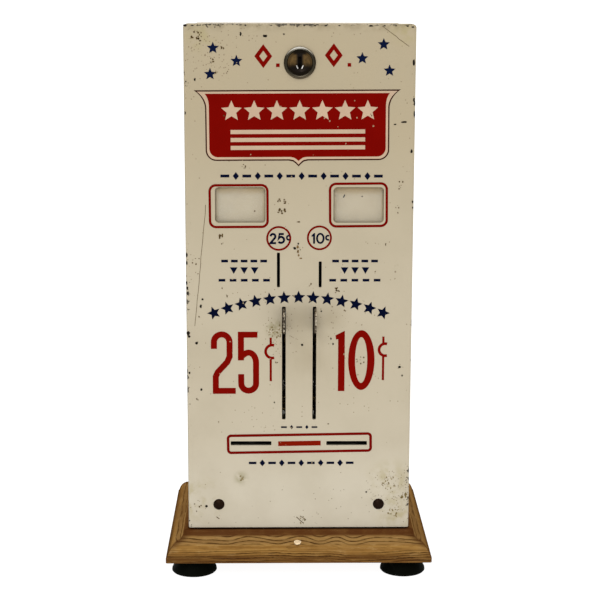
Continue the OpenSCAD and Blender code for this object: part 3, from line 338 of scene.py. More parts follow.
def wood():
    """Varnished oak: four mitred mouldings, wavy dark grain in the hollow, darkening by the case, along the
    outer edges and below: partly dirt, partly painted shade.
    """
    look = Look("oak", rough=0.5, shine=0.0)
    to_side = look.minus(PLINTH_HIGH.x, look.size(look.x))
    to_front = look.minus(PLINTH_HIGH.y, look.size(look.y))
    height = look.minus(look.z, PLINTH_LOW.z)
    inward = look.least(to_side, to_front)
    sideways = look.math("LESS_THAN", to_side, to_front)
    # run goes along each moulding, girth goes down its slope
    run = look.add(look.times(look.y, sideways),
                   look.times(look.x, look.minus(1.0, sideways)))
    girth = look.add(inward, height)
    flat = look.node("ShaderNodeCombineXYZ")
    for value, socket in zip((run, girth, look.times(sideways, 3.0)), flat.inputs):
        look.put(value, socket)
    along = flat.outputs[0]
    fibre = look.noise(1.0, 4.0, 0.6, place=look.stretched((28.0, 620.0, 1.0), place=along))
    figure = look.noise(1.0, 3.0, 0.6, place=look.stretched((9.0, 170.0, 1.0), (0.3, 1.7, 0.0), along))
    pores = look.noise(1.0, 2.0, 0.6, place=look.stretched((70.0, 1100.0, 1.0), (0.0, 3.0, 1.0), along))
    colour = look.blend(look.ramp(figure, 0.32, 0.66), (0.235, 0.115, 0.028), OAK)
    colour = look.blend(look.ramp(fibre, 0.35, 0.70, 0.0, 0.45), colour, (0.185, 0.085, 0.020))
    colour = look.blend(look.ramp(look.noise(26, 3.0), 0.45, 0.75, 0.0, 0.35), colour, (0.36, 0.215, 0.075))
    tremble = look.noise(1.0, 4.0, 0.65, place=look.stretched((95.0, 330.0, 1.0), (0.4, 0.9, 0.0), along))
    colour = look.blend(look.ramp(tremble, 0.52, 0.70, 0.0, 0.50), colour, (0.430, 0.270, 0.105))
    colour = look.blend(look.ramp(tremble, 0.47, 0.30, 0.0, 0.55), colour, (0.130, 0.060, 0.016))
    # growth rings cut by the hollow: a few long wavy lines
    drift = look.noise(1.0, 1.0, 0.4, place=look.stretched((16.0, 10.0, 1.0), (0.8, 0.0, 0.0), along))
    wave = look.math("SINE", look.add(look.times(run, TAU / (36 * MM)), look.times(drift, 12.0)))
    swing = look.minus(3.3, look.times(sideways, 2.6))
    rings = look.add(look.times(girth, TAU / (4.7 * MM)),
                     look.add(look.times(wave, swing), look.times(drift, 9.0)))
    rings = look.add(rings, look.times(tremble, 2.6))
    lines = look.times(look.ramp(look.math("SINE", rings), 0.30, 0.95),
                       look.ramp(tremble, 0.66, 0.42, 0.35, 1.0))
    hollow = look.times(look.ramp(height, 0.0116, 0.0132), look.ramp(height, 0.0188, 0.0166))
    colour = look.blend(look.times(hollow, 0.45), colour, (0.335, 0.205, 0.078))
    colour = look.blend(look.times(lines, hollow, 0.96), colour, (0.056, 0.023, 0.006))
    dark_pores = look.math("GREATER_THAN", pores, 0.66)
    colour = look.blend(look.times(dark_pores, 0.45), colour, (0.085, 0.038, 0.011))
    # dark red next to the case: painted shade under the case with a reddish stain; a darker, streaky lower
    # lip: dirt and painted shade
    beside = look.ramp(height, 0.0158, 0.0182)
    beside = look.times(beside, look.ramp(look.noise(70, 4.0), 0.2, 0.6, 0.72, 1.0))
    colour = look.blend(look.times(beside, 0.90), colour, (0.075, 0.022, 0.0065))
    # a near-black painted shadow on the plinth just under the door's face
    gap_shadow = look.ramp(inward, PLINTH_HIGH.y + FACE_Y - 1.2 * MM, PLINTH_HIGH.y + FACE_Y - 0.2 * MM)
    colour = look.blend(look.times(gap_shadow, 0.92), colour, (0.012, 0.006, 0.004))
    low = look.ramp(height, 0.0080, 0.0042)
    lip_dirt_and_shade = look.ramp(fibre, 0.36, 0.56, 0.50, 1.0)
    colour = look.blend(look.times(low, lip_dirt_and_shade, 0.85), colour, (0.088, 0.035, 0.009))
    low_rings = look.add(look.times(girth, TAU / (2.2 * MM)),
                         look.add(look.times(drift, 26.0), look.times(tremble, 7.0)))
    low_lines = look.times(look.ramp(look.math("SINE", low_rings), 0.10, 0.80), look.ramp(figure, 0.38, 0.52),
                           look.ramp(height, 0.0104, 0.0074))
    colour = look.blend(look.times(low_lines, 0.92), colour, (0.042, 0.016, 0.005))
    # painted shade along the outer edges of the side mouldings
    outer = look.times(look.ramp(inward, 4.6 * MM, 1.2 * MM), sideways)
    colour = look.blend(look.times(outer, 0.80), colour, (0.040, 0.018, 0.006))
    # the side mouldings painted darker in clouds: painted shade
    flank_shade = look.times(sideways, look.ramp(look.noise(30, 4.0), 0.35, 0.65, 0.30, 0.65))
    colour = look.blend(flank_shade, colour, (0.125, 0.058, 0.016))
    # dark mitre lines; round them a darkening that grows towards the case: grime in the joint and painted
    # shade in the inner corner
    from_mitre = look.size(look.minus(to_side, to_front))
    mitre = look.ramp(from_mitre, 0.0009, 0.0002)
    joint_dirt_and_shade = look.times(look.ramp(from_mitre, 0.007, 0.0), look.ramp(height, 0.0085, 0.0130, 0.30, 1.5))
    colour = look.blend(look.most(look.times(mitre, 0.9), look.times(joint_dirt_and_shade, 0.5)), colour, OAK_DARK)
    rubbed = look.times(look.corners(0.9 * MM), look.ramp(look.noise(110, 4.0), 0.45, 0.7))
    colour = look.blend(look.times(rubbed, 0.40), colour, (0.40, 0.25, 0.10))
    look.set("Base Color", colour)
    look.set("Roughness", look.ramp(look.noise(50), 0.3, 0.7, 0.42, 0.62))
    carved = look.most(dark_pores, mitre, look.times(lines, hollow))
    look.bump(look.minus(look.times(fibre, 1.4), carved), 0.14 * MM, 0.7)
    return look.material


def rubber():
    look = Look("rubber", rough=0.7, shine=0.02)
    scuffs = look.ramp(look.noise(190, 4.0), 0.55, 0.8, 0.0, 0.5)
    colour = look.blend(scuffs, (0.0022, 0.0028, 0.0016), (0.012, 0.0115, 0.0095))
    colour = look.blend(look.times(look.corners(0.8 * MM), 0.3), colour, (0.014, 0.0135, 0.012))
    look.set("Base Color", colour)
    look.set("Roughness", look.ramp(look.noise(80), 0.3, 0.7, 0.55, 0.8))
    look.bump(look.noise(900, 2.0), 0.05 * MM, 0.5)
    return look.material


def metal(name, colour, rough, tarnish, wear=0.5, brushed=(1.0, 1.0, 1.0)):
    """Bare or plated metal with fine scratches, tarnish in clouds and brighter edges."""
    look = Look(name, colour, rough, 1.0)
    cloud = look.ramp(look.noise(70, 5.0), 0.42, 0.72, 0.0, 0.75)
    shade = look.blend(cloud, colour, tarnish)
    bright = tuple(min(1.0, 1.35 * part) for part in colour)
    edges = look.times(look.corners(0.5 * MM), look.ramp(look.noise(240, 3.0), 0.3, 0.6), wear)
    shade = look.blend(edges, shade, bright)
    pits = look.specks(650, 0.34, 0.05)
    shade = look.blend(look.times(pits, 0.7), shade, tuple(0.35 * part for part in tarnish))
    look.set("Base Color", shade)
    lines = look.noise(1.0, 2.0, place=look.stretched(tuple(600 * part for part in brushed)))
    look.set("Roughness", look.ramp(look.add(lines, cloud), 0.3, 1.5, rough * 0.8, rough * 1.5))
    look.bump(look.minus(lines, pits), 0.02 * MM, 0.5)
    return look.material


def lever_steel():
    """Plated plate; a finger tab's outer edge is speckled bright on one side and black-brown elsewhere."""
    look = Look("lever_steel", rough=0.4, metal=1.0)
    cloud = look.ramp(look.noise(70, 5.0), 0.42, 0.72, 0.0, 0.75)
    shade = look.blend(cloud, (0.42, 0.39, 0.34), (0.16, 0.12, 0.075))
    edges = look.times(look.corners(0.5 * MM), look.ramp(look.noise(240, 3.0), 0.3, 0.6), 0.6)
    shade = look.blend(edges, shade, (0.60, 0.56, 0.50))
    from_middle = look.minus(look.x, look.times(look.math("SIGN", look.x), LEVER_X))
    # black-brown on the tab and on the plate within the slot: the tab's dark finish, and painted shade inside
    # the slot; bright worn flecks on one half of the tab
    out = look.ramp(look.y, FACE_Y + 0.012, FACE_Y + 0.004)
    shade = look.blend(out, shade, (0.030, 0.020, 0.012))
    worn_side = look.ramp(from_middle, -0.0004, 0.0002)
    flecks = look.ramp(look.noise(520, 5.0, 0.8), 0.44, 0.56)
    shade = look.blend(look.times(out, worn_side, flecks), shade, (0.56, 0.49, 0.37))
    look.set("Base Color", shade)
    look.set("Roughness", look.ramp(look.add(look.noise(300), cloud), 0.3, 1.5, 0.32, 0.6))
    look.bump(look.noise(800, 3.0), 0.03 * MM, 0.6)
    return look.material


def lock_chrome():
    """A chromed bezel with painted reflections, bright where it looks up and darker elsewhere, round a recess
    painted dark as shade, with brown painted reflections.
    """
    look = Look("lock_chrome", rough=0.15, metal=1.0)
    dz = look.minus(look.z, LOCK_Z)
    away = look.math("SQRT", look.add(look.times(look.x, look.x), look.times(dz, dz)))
    inside = look.ramp(away, RECESS_R + 0.30 * MM, RECESS_R - 0.10 * MM)
    upward = look.facing(2)
    # painted reflections: a bright crescent where the bezel looks up, a lighter band low on its lower curve,
    # a darker outer rim
    bright = look.times(look.ramp(upward, 0.28, 0.70), look.ramp(dz, -0.001, 0.003))
    shade = look.blend(bright, (0.046, 0.040, 0.026), (0.88, 0.86, 0.80))
    lower_reflection = look.times(look.ramp(look.size(upward), 0.30, 0.75), look.ramp(dz, -0.002, -0.006))
    shade = look.blend(lower_reflection, shade, (0.205, 0.172, 0.125))
    rim = look.ramp(away, LOCK_RIM - 0.45 * MM, LOCK_RIM)
    shade = look.blend(look.times(rim, 0.85), shade, (0.060, 0.052, 0.036))
    cloud = look.ramp(look.noise(260, 5.0), 0.5, 0.75, 0.0, 0.5)
    shade = look.blend(cloud, shade, (0.075, 0.065, 0.042))
    # the recess painted near-black as shade, with brown painted reflections either side of the keyway
    beside = look.ramp(look.size(look.x), 0.0030, 0.0052)
    brown = look.times(beside, look.ramp(dz, -0.0040, 0.0010), look.ramp(dz, 0.0080, 0.0050))
    painted_recess = look.blend(brown, (0.012, 0.009, 0.006), (0.085, 0.052, 0.020))
    shade = look.blend(inside, shade, painted_recess)
    look.set("Base Color", shade)
    look.set("Specular Tint", (0.35, 0.33, 0.28))
    look.set("Roughness", look.most(look.ramp(bright, 0.0, 1.0, 0.42, 0.14), look.times(inside, 0.5)))
    look.bump(look.noise(500, 3.0), 0.015 * MM, 0.5)
    return look.material


def plug_brass():
    """Tarnished brass with painted reflections: brown on both sides of the keyway, black below, and two
    painted glints.
    """
    look = Look("lock_brass", rough=0.45, metal=1.0)
    dz = look.minus(look.z, LOCK_Z)
    beside = look.size(look.x)
    # painted reflection of the dished face: brown beside the keyway, near-black elsewhere
    reflection_sector = look.times(look.ramp(beside, 0.0012, 0.0034), look.ramp(dz, -0.0035, 0.0005),
                        look.ramp(dz, 0.0068, 0.0045))
    shade = look.blend(look.times(reflection_sector, look.ramp(look.noise(330, 4.0), 0.25, 0.65, 0.55, 1.0)),
                       (0.014, 0.011, 0.009), (0.135, 0.082, 0.030))
    # two painted glints slanting up from below the keyway
    across = look.minus(beside, 0.0016)
    slant = look.minus(across, look.times(look.add(dz, 0.0036), 0.45))
    painted_glint = look.times(look.ramp(look.size(slant), 0.00050, 0.00015, 0.0, 0.8),
                      look.ramp(look.size(look.add(dz, 0.0030)), 0.0013, 0.0009))
    shade = look.blend(painted_glint, shade, (0.85, 0.83, 0.80))
    look.set("Base Color", shade)
    look.set("Roughness", look.ramp(look.noise(240, 4.0), 0.3, 0.7, 0.34, 0.6))
    look.bump(look.noise(600, 3.0), 0.03 * MM, 0.6)
    return look.material


def glass():
    look = Look("window_glass", (0.8, 0.8, 0.78), 0.06, shine=0.3)
    haze = look.ramp(look.noise(35, 4.0), 0.45, 0.8, 0.06, 0.16)
    look.set("Alpha", haze)
    look.set("Roughness", look.ramp(look.noise(60, 4.0), 0.5, 0.8, 0.05, 0.20))
    look.set("Base Color", look.blend(look.noise(25, 3.0), (0.60, 0.56, 0.46), (0.70, 0.68, 0.60)))
    look.bump(look.noise(40, 2.0), 0.02 * MM, 0.3)
    return look.material


def card():
    """Aged cream card, with a painted shadow under the window's upper edge and beside its sides: a brown
    tint, darker nearest the edges, and faint above the lower edge.
    """
    look = Look("card", rough=0.8, shine=0.1)
    fibre = look.noise(500, 4.0)
    cloud = look.ramp(look.noise(40, 4.0), 0.35, 0.75)
    colour = look.blend(cloud, (0.545, 0.480, 0.360), (0.50, 0.43, 0.31))
    across = look.size(look.minus(look.size(look.x), WINDOW_X))
    from_side = look.minus(WINDOW_SIZE[0] / 2, across)
    from_top = look.minus(FACE_TOP - WINDOW_DROP + WINDOW_SIZE[1] / 2, look.z)
    from_foot = look.minus(look.z, FACE_TOP - WINDOW_DROP - WINDOW_SIZE[1] / 2)
    # painted shadow under the window's edges: a brown tint, then darkening nearest them
    shadow_tint = look.most(look.ramp(from_top, 0.0075, 0.0010, 0.0, 0.75),
                       look.ramp(from_side, 0.0030, 0.0, 0.0, 0.45))
    colour = look.blend(shadow_tint, colour, (0.46, 0.315, 0.120))
    painted_shadow = look.most(look.ramp(from_top, 0.0026, 0.0004, 0.0, 0.60),
                    look.ramp(from_side, 0.0016, 0.0, 0.0, 0.62),
                    look.ramp(from_foot, 0.0014, 0.0, 0.0, 0.40))
    colour = look.blend(painted_shadow, colour, (0.085, 0.062, 0.034))
    colour = look.blend(look.specks(500, 0.35, 0.02), colour, RUST)
    look.set("Base Color", colour)
    look.set("Roughness", look.ramp(fibre, 0.3, 0.7, 0.7, 0.9))
    look.bump(fibre, 0.03 * MM, 0.6)
    return look.material


def chute_painted_shade():
    """The coin chutes: sheet steel painted near-black as the shade inside the coin slots, with coin-rubbed
    lighter patches and edges deeper in.
    """
    look = Look("chute_painted_shade", rough=0.6, shine=0.2)
    behind = look.ramp(look.y, FACE_Y + 0.006, FACE_Y + 0.014)
    rubbed = look.times(look.ramp(look.noise(180, 5.0), 0.58, 0.72), behind)
    colour = look.blend(rubbed, (0.006, 0.005, 0.004), (0.10, 0.095, 0.08))
    edges = look.times(look.corners(0.5 * MM), behind)
    colour = look.blend(look.times(edges, 0.6), colour, (0.20, 0.19, 0.17))
    look.set("Base Color", colour)
    look.set("Roughness", look.ramp(look.noise(90), 0.3, 0.7, 0.5, 0.7))
    look.bump(look.noise(500, 3.0), 0.03 * MM, 0.6)
    return look.material


def blot_look(name, colour):
    look = Look(name, rough=0.75, shine=0.08)
    pale = tuple(1.9 * part for part in colour)
    shade = look.blend(look.ramp(look.noise(900, 3.0), 0.35, 0.65), colour, pale)
    look.set("Base Color", shade)
    look.set("Roughness", look.ramp(look.noise(400), 0.3, 0.7, 0.6, 0.9))
    look.bump(look.noise(1500, 2.0), 0.03 * MM, 0.6)
    return look.material


def floor_look():
    look = Look("floor", (0.22, 0.22, 0.22), 0.9, shine=0.0)
    look.set("Emission Color", (1.0, 1.0, 1.0))
    look.set("Emission Strength", 0.95)
    return look.material


# ---------- outlines on the face ----------

def arc(cx, cy, rx, ry, start, end, steps=16):
    """Points of an ellipse's arc; angles in degrees, 0 to the right and 90 downwards."""
    angles = [math.radians(start + (end - start) * i / steps) for i in range(steps + 1)]
    return [(cx + rx * math.cos(a), cy + ry * math.sin(a)) for a in angles]


def ring_points(cx, cy, rx, ry, steps=64):
    return arc(cx, cy, rx, ry, 0, 360 - 360 / steps, steps - 1)


def rounded(left, right, top, bottom, r):
    """A rectangle with round corners."""
    return (arc(right - r, top + r, r, r, -90, 0, 8) + arc(right - r, bottom - r, r, r, 0, 90, 8)
            + arc(left + r, bottom - r, r, r, 90, 180, 8) + arc(left + r, top + r, r, r, 180, 270, 8))


def turned(points, cx, cy, degrees):
    c, s = math.cos(math.radians(degrees)), math.sin(math.radians(degrees))
    return [(cx + (x - cx) * c - (y - cy) * s, cy + (x - cx) * s + (y - cy) * c) for x, y in points]


def frame_line(left, right, top, bottom, r, line, tilt=0.0):
    """The two loops of a rounded frame."""
    cx, cy = (left + right) / 2, (top + bottom) / 2
    outer = rounded(left, right, top, bottom, r)
    inner = rounded(left + line, right - line, top + line, bottom - line, r - line)
    return [turned(outer, cx, cy, tilt), turned(inner, cx, cy, tilt)]


def star(cx, cy, r, turn=0.0):
    points = []
    waist = 0.46            # the inner corners' reach, as a share of the tips'
    for i in range(10):
        reach = r if i % 2 == 0 else r * waist
        a = math.radians(-90 + 36 * i + turn)
        points.append((cx + reach * math.cos(a), cy + reach * math.sin(a)))
    return points


def lozenge(cx, cy, w, h):
    return [(cx, cy - h / 2), (cx + w / 2, cy), (cx, cy + h / 2), (cx - w / 2, cy)]


def bar(cx, cy, w, h):
    return [(cx - w / 2, cy - h / 2), (cx + w / 2, cy - h / 2),
            (cx + w / 2, cy + h / 2), (cx - w / 2, cy + h / 2)]


def arrow(cx, cy, w, h):
    """A triangle that points down."""
    return [(cx - w / 2, cy - h / 2), (cx + w / 2, cy - h / 2), (cx, cy + h / 2)]


def stroke(path, width):
    """Outline of a line of that width along a path, with mitred bends and square ends."""
    left, right = [], []
    for i, (x, y) in enumerate(path):
        x0, y0 = path[max(i - 1, 0)]
        x1, y1 = path[min(i + 1, len(path) - 1)]
        a = math.atan2(y - y0, x - x0) if i else math.atan2(y1 - y, x1 - x)
        b = math.atan2(y1 - y, x1 - x) if i < len(path) - 1 else a
        bend = (b - a + math.pi) % TAU - math.pi
        reach = width / 2 / math.cos(bend / 2)
        normal = a + bend / 2 + math.pi / 2
        left.append((x + reach * math.cos(normal), y + reach * math.sin(normal)))
        right.append((x - reach * math.cos(normal), y - reach * math.sin(normal)))
    return left + right[::-1]


def shield(left, right, top, bottom, ear, corner, tip, middle):
    """A banner with pointed ears above, round corners and a small tip below.

    ear is (reach of the ellipse, its height, the angle at which it ends); tip is (half width, depth).
    """
    reach, height, end = ear
    half, depth = tip
    drop = top + height * math.sin(math.radians(end))
    right_ear = arc(right + reach, drop, reach, height, 180 + end, 180, 10)
    left_ear = arc(left - reach, drop, reach, height, 0, -end, 10)
    lower_right = arc(right - corner, bottom - corner, corner, corner, 0, 90, 10)
    lower_left = arc(left + corner, bottom - corner, corner, corner, 90, 180, 10)
    curve = ((1.0, 0.0), (0.55, 0.16), (0.25, 0.55), (0.0, 1.0))    # shares of the tip's half and depth
    point = [(middle + half * x, bottom + depth * y) for x, y in curve]
    point += [(middle - half * x, bottom + depth * y) for x, y in curve[-2::-1]]
    return right_ear + lower_right + point + lower_left + left_ear


# ---------- films on the face ----------

def film(name, shapes, material, up=INK_UP, face_y=FACE_Y, slot="door_paint", tilt=None):
    """One piece of flat shapes on the door's face. A shape is a list of loops: outline, then holes.

    tilt is (x, drop, degrees anticlockwise): the place about which the filled shapes turn.
    """
    parts = []
    for loops in shapes:
        curve = bpy.data.curves.new(name, "CURVE")
        curve.dimensions = "2D"
        curve.fill_mode = "BOTH"
        curve.extrude = (up + INK_IN) / 2
        for loop in loops:
            spline = curve.splines.new("POLY")
            spline.points.add(len(loop) - 1)
            for point, (x, drop) in zip(spline.points, loop):
                point.co = (x * MM, -drop * MM, 0.0, 1.0)
            spline.use_cyclic_u = True
        parts.append(bpy.data.objects.new(name, curve))
        scene.collection.objects.link(parts[-1])
    depsgraph = bpy.context.evaluated_depsgraph_get()
    vertices, faces = [], []
    for index, part in enumerate(parts):
        mesh = part.evaluated_get(depsgraph).to_mesh()
        base = len(vertices)
        lift = Vector((0.0, 0.0, (index % LEVELS) * LEVEL))
        vertices += [v.co + lift for v in mesh.vertices]
        faces += [[base + i for i in polygon.vertices] for polygon in mesh.polygons]
        part.evaluated_get(depsgraph).to_mesh_clear()
        bpy.data.objects.remove(part)
    mesh = bpy.data.meshes.new(name)
    mesh.from_pydata(vertices, [], faces)
    if tilt:
        pivot = Matrix.Translation((tilt[0] * MM, -tilt[1] * MM, 0.0))
        mesh.transform(pivot @ Matrix.Rotation(math.radians(tilt[2]), 4, "Z") @ pivot.inverted())
    stand = Matrix.Rotation(math.pi / 2, 4, "X")
    mesh.transform(Matrix.Translation((0.0, face_y - (up - INK_IN) / 2, FACE_TOP)) @ stand)
    mesh.materials.append(material)
    obj = bpy.data.objects.new(name, mesh)
    scene.collection.objects.link(obj)
    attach(obj, "door")


def print_stars(navy):
    spots = [(-60.8, 16.7), (-44.4, 25.7), (-62.9, 34.8), (58.6, 14.0), (43.7, 23.7), (62.9, 32.2)]
    film("print_stars", [[star(x, drop, 4.35)] for x, drop in spots], navy)


def print_marks_beside_lock(red):
    """Red lozenges and dots where the photographed machine has letters."""
    shapes = []
    for x, drop in ((-25.6, 22.3), (23.7, 21.6)):
        shapes.append([lozenge(x, drop, 12.5, 16.5), lozenge(x, drop, 5.6, 7.6)])
    shapes += [[bar(-15.4, 28.6, 2.5, 2.5)], [bar(34.7, 28.2, 2.5, 2.5)]]
    film("print_lozenges", shapes, red)


def print_banner(red, line_red, ground):
    """A shield with seven stars over three stripes, in the place of its words."""
    outer = shield(-66.5, 63.3, 45.65, 95.35, (21.5, 17.1, 50.6), 7.5, (7.0, 4.2), -0.9)
    inner = shield(-65.55, 62.35, 46.6, 94.4, (20.1, 16.0, 48.0), 6.6, (6.4, 3.8), -0.9)
    fill = shield(-63.9, 60.8, 48.1, 92.8, (4.95, 9.7, 65.7), 6.0, (6.0, 2.9), -0.9)
    count = 7
    stars = [star(-48.0 + 96.0 * i / (count - 1), 60.4, 7.6) for i in range(count)]
    stripes = [bar(-1.3, 75.0 + 5.6 * i, 95.0, 2.9) for i in range(3)]
    tilt = (-1.0, 70.0, 0.33)
    film("print_banner_line", [[outer, inner]], line_red, tilt=tilt)
    film("print_banner", [[fill, *stars, *stripes]], red, tilt=tilt)
    film("print_banner_ground", [[inner, fill], *[[shape] for shape in stars + stripes]], ground, tilt=tilt)


def print_row(name, left, right, drop, count, dash, diamond, navy):
    """A row of dashes with lozenges between them, in the place of a line of words."""
    shapes = []
    for i in range(count):
        x = left + (right - left) * i / (count - 1)
        shapes.append([bar(x, drop, *dash)] if i % 2 == 0 else [lozenge(x, drop, *diamond)])
    film(name, shapes, navy)


def print_window_frames(red):
    shapes = [frame_line(-64.7, -21.9, 112.1, 143.8, 5.2, 1.75, -0.3),
              frame_line(20.9, 63.1, 110.9, 143.2, 5.2, 1.75, -0.6)]
    film("print_window_frames", shapes, red)


def small_two(x, y, w, h):
    path = arc(x + w * 0.48, y + h * 0.28, w * 0.42, h * 0.28, 185, 385, 12)
    return path + [(x + w * 0.05, y + h), (x + w * 1.02, y + h)]


def small_five(x, y, w, h):
    bowl = arc(x + w * 0.42, y + h * 0.66, w * 0.54, h * 0.34, 232, 500, 14)
    return [(x + w * 0.92, y), (x + w * 0.22, y), (x + w * 0.10, y + h * 0.44)] + bowl[1:]


def cent(x, y, r, stem, low, high):
    """A cent sign: an open bowl with a tick above and a longer one below."""
    bowl, upright = 2.0, 1.65
    return [[stroke(arc(x, y, r, r, 73, 287, 16), bowl)],
            [bar(stem, (low + y - r) / 2, upright, y - r - low)],
            [bar(stem, (high + y + r) / 2, upright, high - y - r)]]


def print_price_circles(red, navy):
    circles = []
    for x, drop in ((-14.8, 151.2), (14.3, 150.8)):
        circles.append([ring_points(x, drop, 8.95, 8.95), ring_points(x, drop, 7.55, 7.55)])
    film("print_circles", circles, red)
    line = 1.5
    marks = [[stroke(small_two(-20.9, 148.0, 4.1, 6.6), line)],
             [stroke(small_five(-15.0, 148.0, 4.2, 6.4), line)],
             [[(8.7, 149.0), (10.4, 147.3), (11.2, 147.3), (11.2, 155.0),
               (9.8, 155.0), (9.8, 149.6), (8.7, 150.2)]],
             [ring_points(14.95, 151.15, 3.05, 4.0), ring_points(14.95, 151.15, 1.65, 2.65)]]
    for x in (-7.6, 20.4):
        marks.append([stroke(arc(x, 150.7, 1.4, 1.5, 55, 305, 14), 1.25)])
    film("print_small_prices", marks, navy)


def print_hints(navy):
    """Dashes and arrows beside each coin slot, in the place of three short lines of words."""
    shapes = []
    for middle in (-39.6, 40.0):
        for drop, spots in ((167.6, (-14.0, -7.0, 0.0, 7.0, 14.0)), (181.6, (-16.0, -8.0, 0.0, 8.0, 16.0))):
            shapes += [[bar(middle + x, drop, 4.8, 1.9)] for x in spots]
        shapes += [[arrow(middle + x, 174.6, 5.4, 4.8)] for x in (-7.5, 0.0, 7.5)]
    film("print_hints", shapes, navy)


def print_arch(navy):
    """An arched row of stars over the levers."""
    half, apex, radius, count = 61.0, 194.2, 168.9, 13
    spread = math.degrees(math.asin(half / radius))
    shapes = []
    for i in range(count):
        a = -spread + 2 * spread * i / (count - 1)
        x = radius * math.sin(math.radians(a)) - 0.5
        drop = apex + radius * (1 - math.cos(math.radians(a)))
        shapes.append([star(x, drop, 5.0, a)])
    film("print_arch", shapes, navy)


def print_prices(red):
    """The two tall prices beside the lever slots."""
    top, line = 219.3, 4.4
    left = -63.9
    two = [(2.13, 12.9)] + arc(7.8, 7.96, 5.66, 5.8, 180, 360, 14) + [
        (13.45, 18.66), (11.74, 22.7), (4.8, 30.3), (3.3, 33.6), (3.3, 44.3), (17.8, 44.3)]
    shapes = [[stroke([(left + x, top + y) for x, y in two], line)]]
    # the five, measured from its stem
    stem, stem_top = -42.2, 221.7
    flag = [(stem + 12.0, stem_top), (stem, stem_top), (stem, stem_top + 19.1)]
    bowl = [(stem + 0.4, stem_top + 16.0)] + arc(stem + 5.5, stem_top + 20.8, 5.4, 7.5, 242, 360, 12) + arc(
        stem + 5.5, stem_top + 36.3, 5.4, 5.5, 0, 180, 12) + [(stem + 0.1, stem_top + 29.4)]
    shapes += [[stroke(flag, line)], [stroke(bowl, line)]]
    # the one and the nought
    shapes.append([[(26.3, 222.3), (32.7, 219.0), (33.1, 219.0), (33.1, 263.9), (28.3, 263.9), (28.3, 225.0),
                    (26.7, 225.3)]])
    shapes.append([ring_points(45.25, 240.75, 9.6, 22.3), ring_points(45.1, 240.7, 4.45, 17.1)])
    shapes += cent(-19.5, 234.25, 4.83, -20.6, 223.9, 256.4)
    shapes += cent(62.5, 232.95, 4.5, 61.1, 223.2, 255.7)
    film("print_prices", shapes, red)


def print_delivery(red, bar_red):
    x, drop, tilt = 0.4, 303.5, -0.87
    film("print_delivery_frame", [frame_line(-52.9, 53.7, 295.9, 310.8, 3.2, 1.95, tilt)], red)
    film("print_delivery_bar", [[turned(bar(x, drop, 31.2, 3.6), x, drop, tilt)]], bar_red)


def print_card_marks(navy):
    """A dash and a dot on the right-hand card."""
    x, drop = 32.0, 121.4
    marks = [[turned(bar(x, drop, 0.8, 2.4), x, drop, 28)], [ring_points(44.9, 121.6, 0.55, 0.5, 12)]]
    film("print_card_marks", marks, navy, 0.05 * MM, CARD_Y, "card")


# ---------- damage ----------

# chips: x, drop, width, height
EDGE_CHIPS = (
    (-80.2, 1.2, 2.6, 1.6), (-80.6, 62.0, 0.8, 2.2), (80.9, 55.0, 0.8, 3.4), (80.9, 62.5, 0.9, 4.2),
    (79.8, 26.4, 1.6, 3.6), (79.3, 88.8, 1.6, 2.6), (80.4, 52.6, 1.2, 3.0), (80.6, 124.8, 1.0, 1.8),
    (80.8, 129.0, 0.8, 1.6), (-80.7, 163.2, 1.1, 3.0), (-80.7, 169.0, 1.0, 2.6),
    (-81.0, 183.6, 0.9, 2.8), (-80.6, 187.4, 1.3, 2.0), (-80.2, 191.2, 1.8, 3.0),
    (-80.2, 220.6, 2.2, 3.2), (-79.6, 223.0, 2.0, 1.6), (-79.6, 250.1, 1.3, 1.5),
)
TOP_CHIPS = (
    (-75.0, 1.2, 2.0, 0.7), (-71.5, 1.1, 1.2, 0.7), (-57.0, 1.0, 1.6, 0.6), (-38.0, 1.1, 1.2, 0.8),
    (-20.0, 1.0, 1.4, 0.6), (3.0, 1.1, 1.3, 0.8), (10.5, 1.2, 1.3, 0.9), (17.8, 1.2, 1.7, 1.0),
    (27.5, 1.1, 1.4, 0.7), (49.5, 1.3, 3.0, 1.1), (59.0, 1.2, 1.6, 0.9), (67.0, 1.1, 1.2, 0.8),
    (75.0, 1.3, 1.6, 1.0), (78.8, 2.0, 1.8, 1.0),
)
FACE_CHIPS = (
    (-41.3, 6.9, 1.3, 2.5), (-24.3, 8.4, 2.9, 1.8), (-73.6, 38.6, 1.3, 1.9), (73.6, 68.1, 3.4, 1.3),
    (67.4, 69.8, 1.8, 0.9), (-11.2, 7.1, 1.2, 1.0), (-74.3, 227.8, 1.9, 2.0), (-71.0, 200.6, 1.5, 2.2),
    (-69.7, 195.6, 1.4, 1.4), (-71.2, 262.7, 1.4, 1.8), (73.1, 245.9, 2.0, 1.6),
    (75.1, 252.3, 1.1, 1.3), (-68.3, 351.7, 1.8, 1.7), (16.0, 204.4, 1.1, 1.1), (23.0, 224.7, 1.0, 1.4),
    (24.5, 228.6, 1.0, 1.5), (2.1, 229.3, 1.5, 1.6), (-18.0, 272.4, 1.0, 1.0), (49.9, 340.9, 1.3, 1.2),
    (-3.3, 158.3, 2.0, 1.9), (-0.8, 155.0, 1.2, 1.2),
)
DRIPS = (
    (-1.2, 157.4, 1.5, 2.4), (-1.0, 160.6, 1.2, 2.4), (-0.6, 163.4, 1.3, 1.6), (1.0, 165.6, 1.8, 0.8),
)
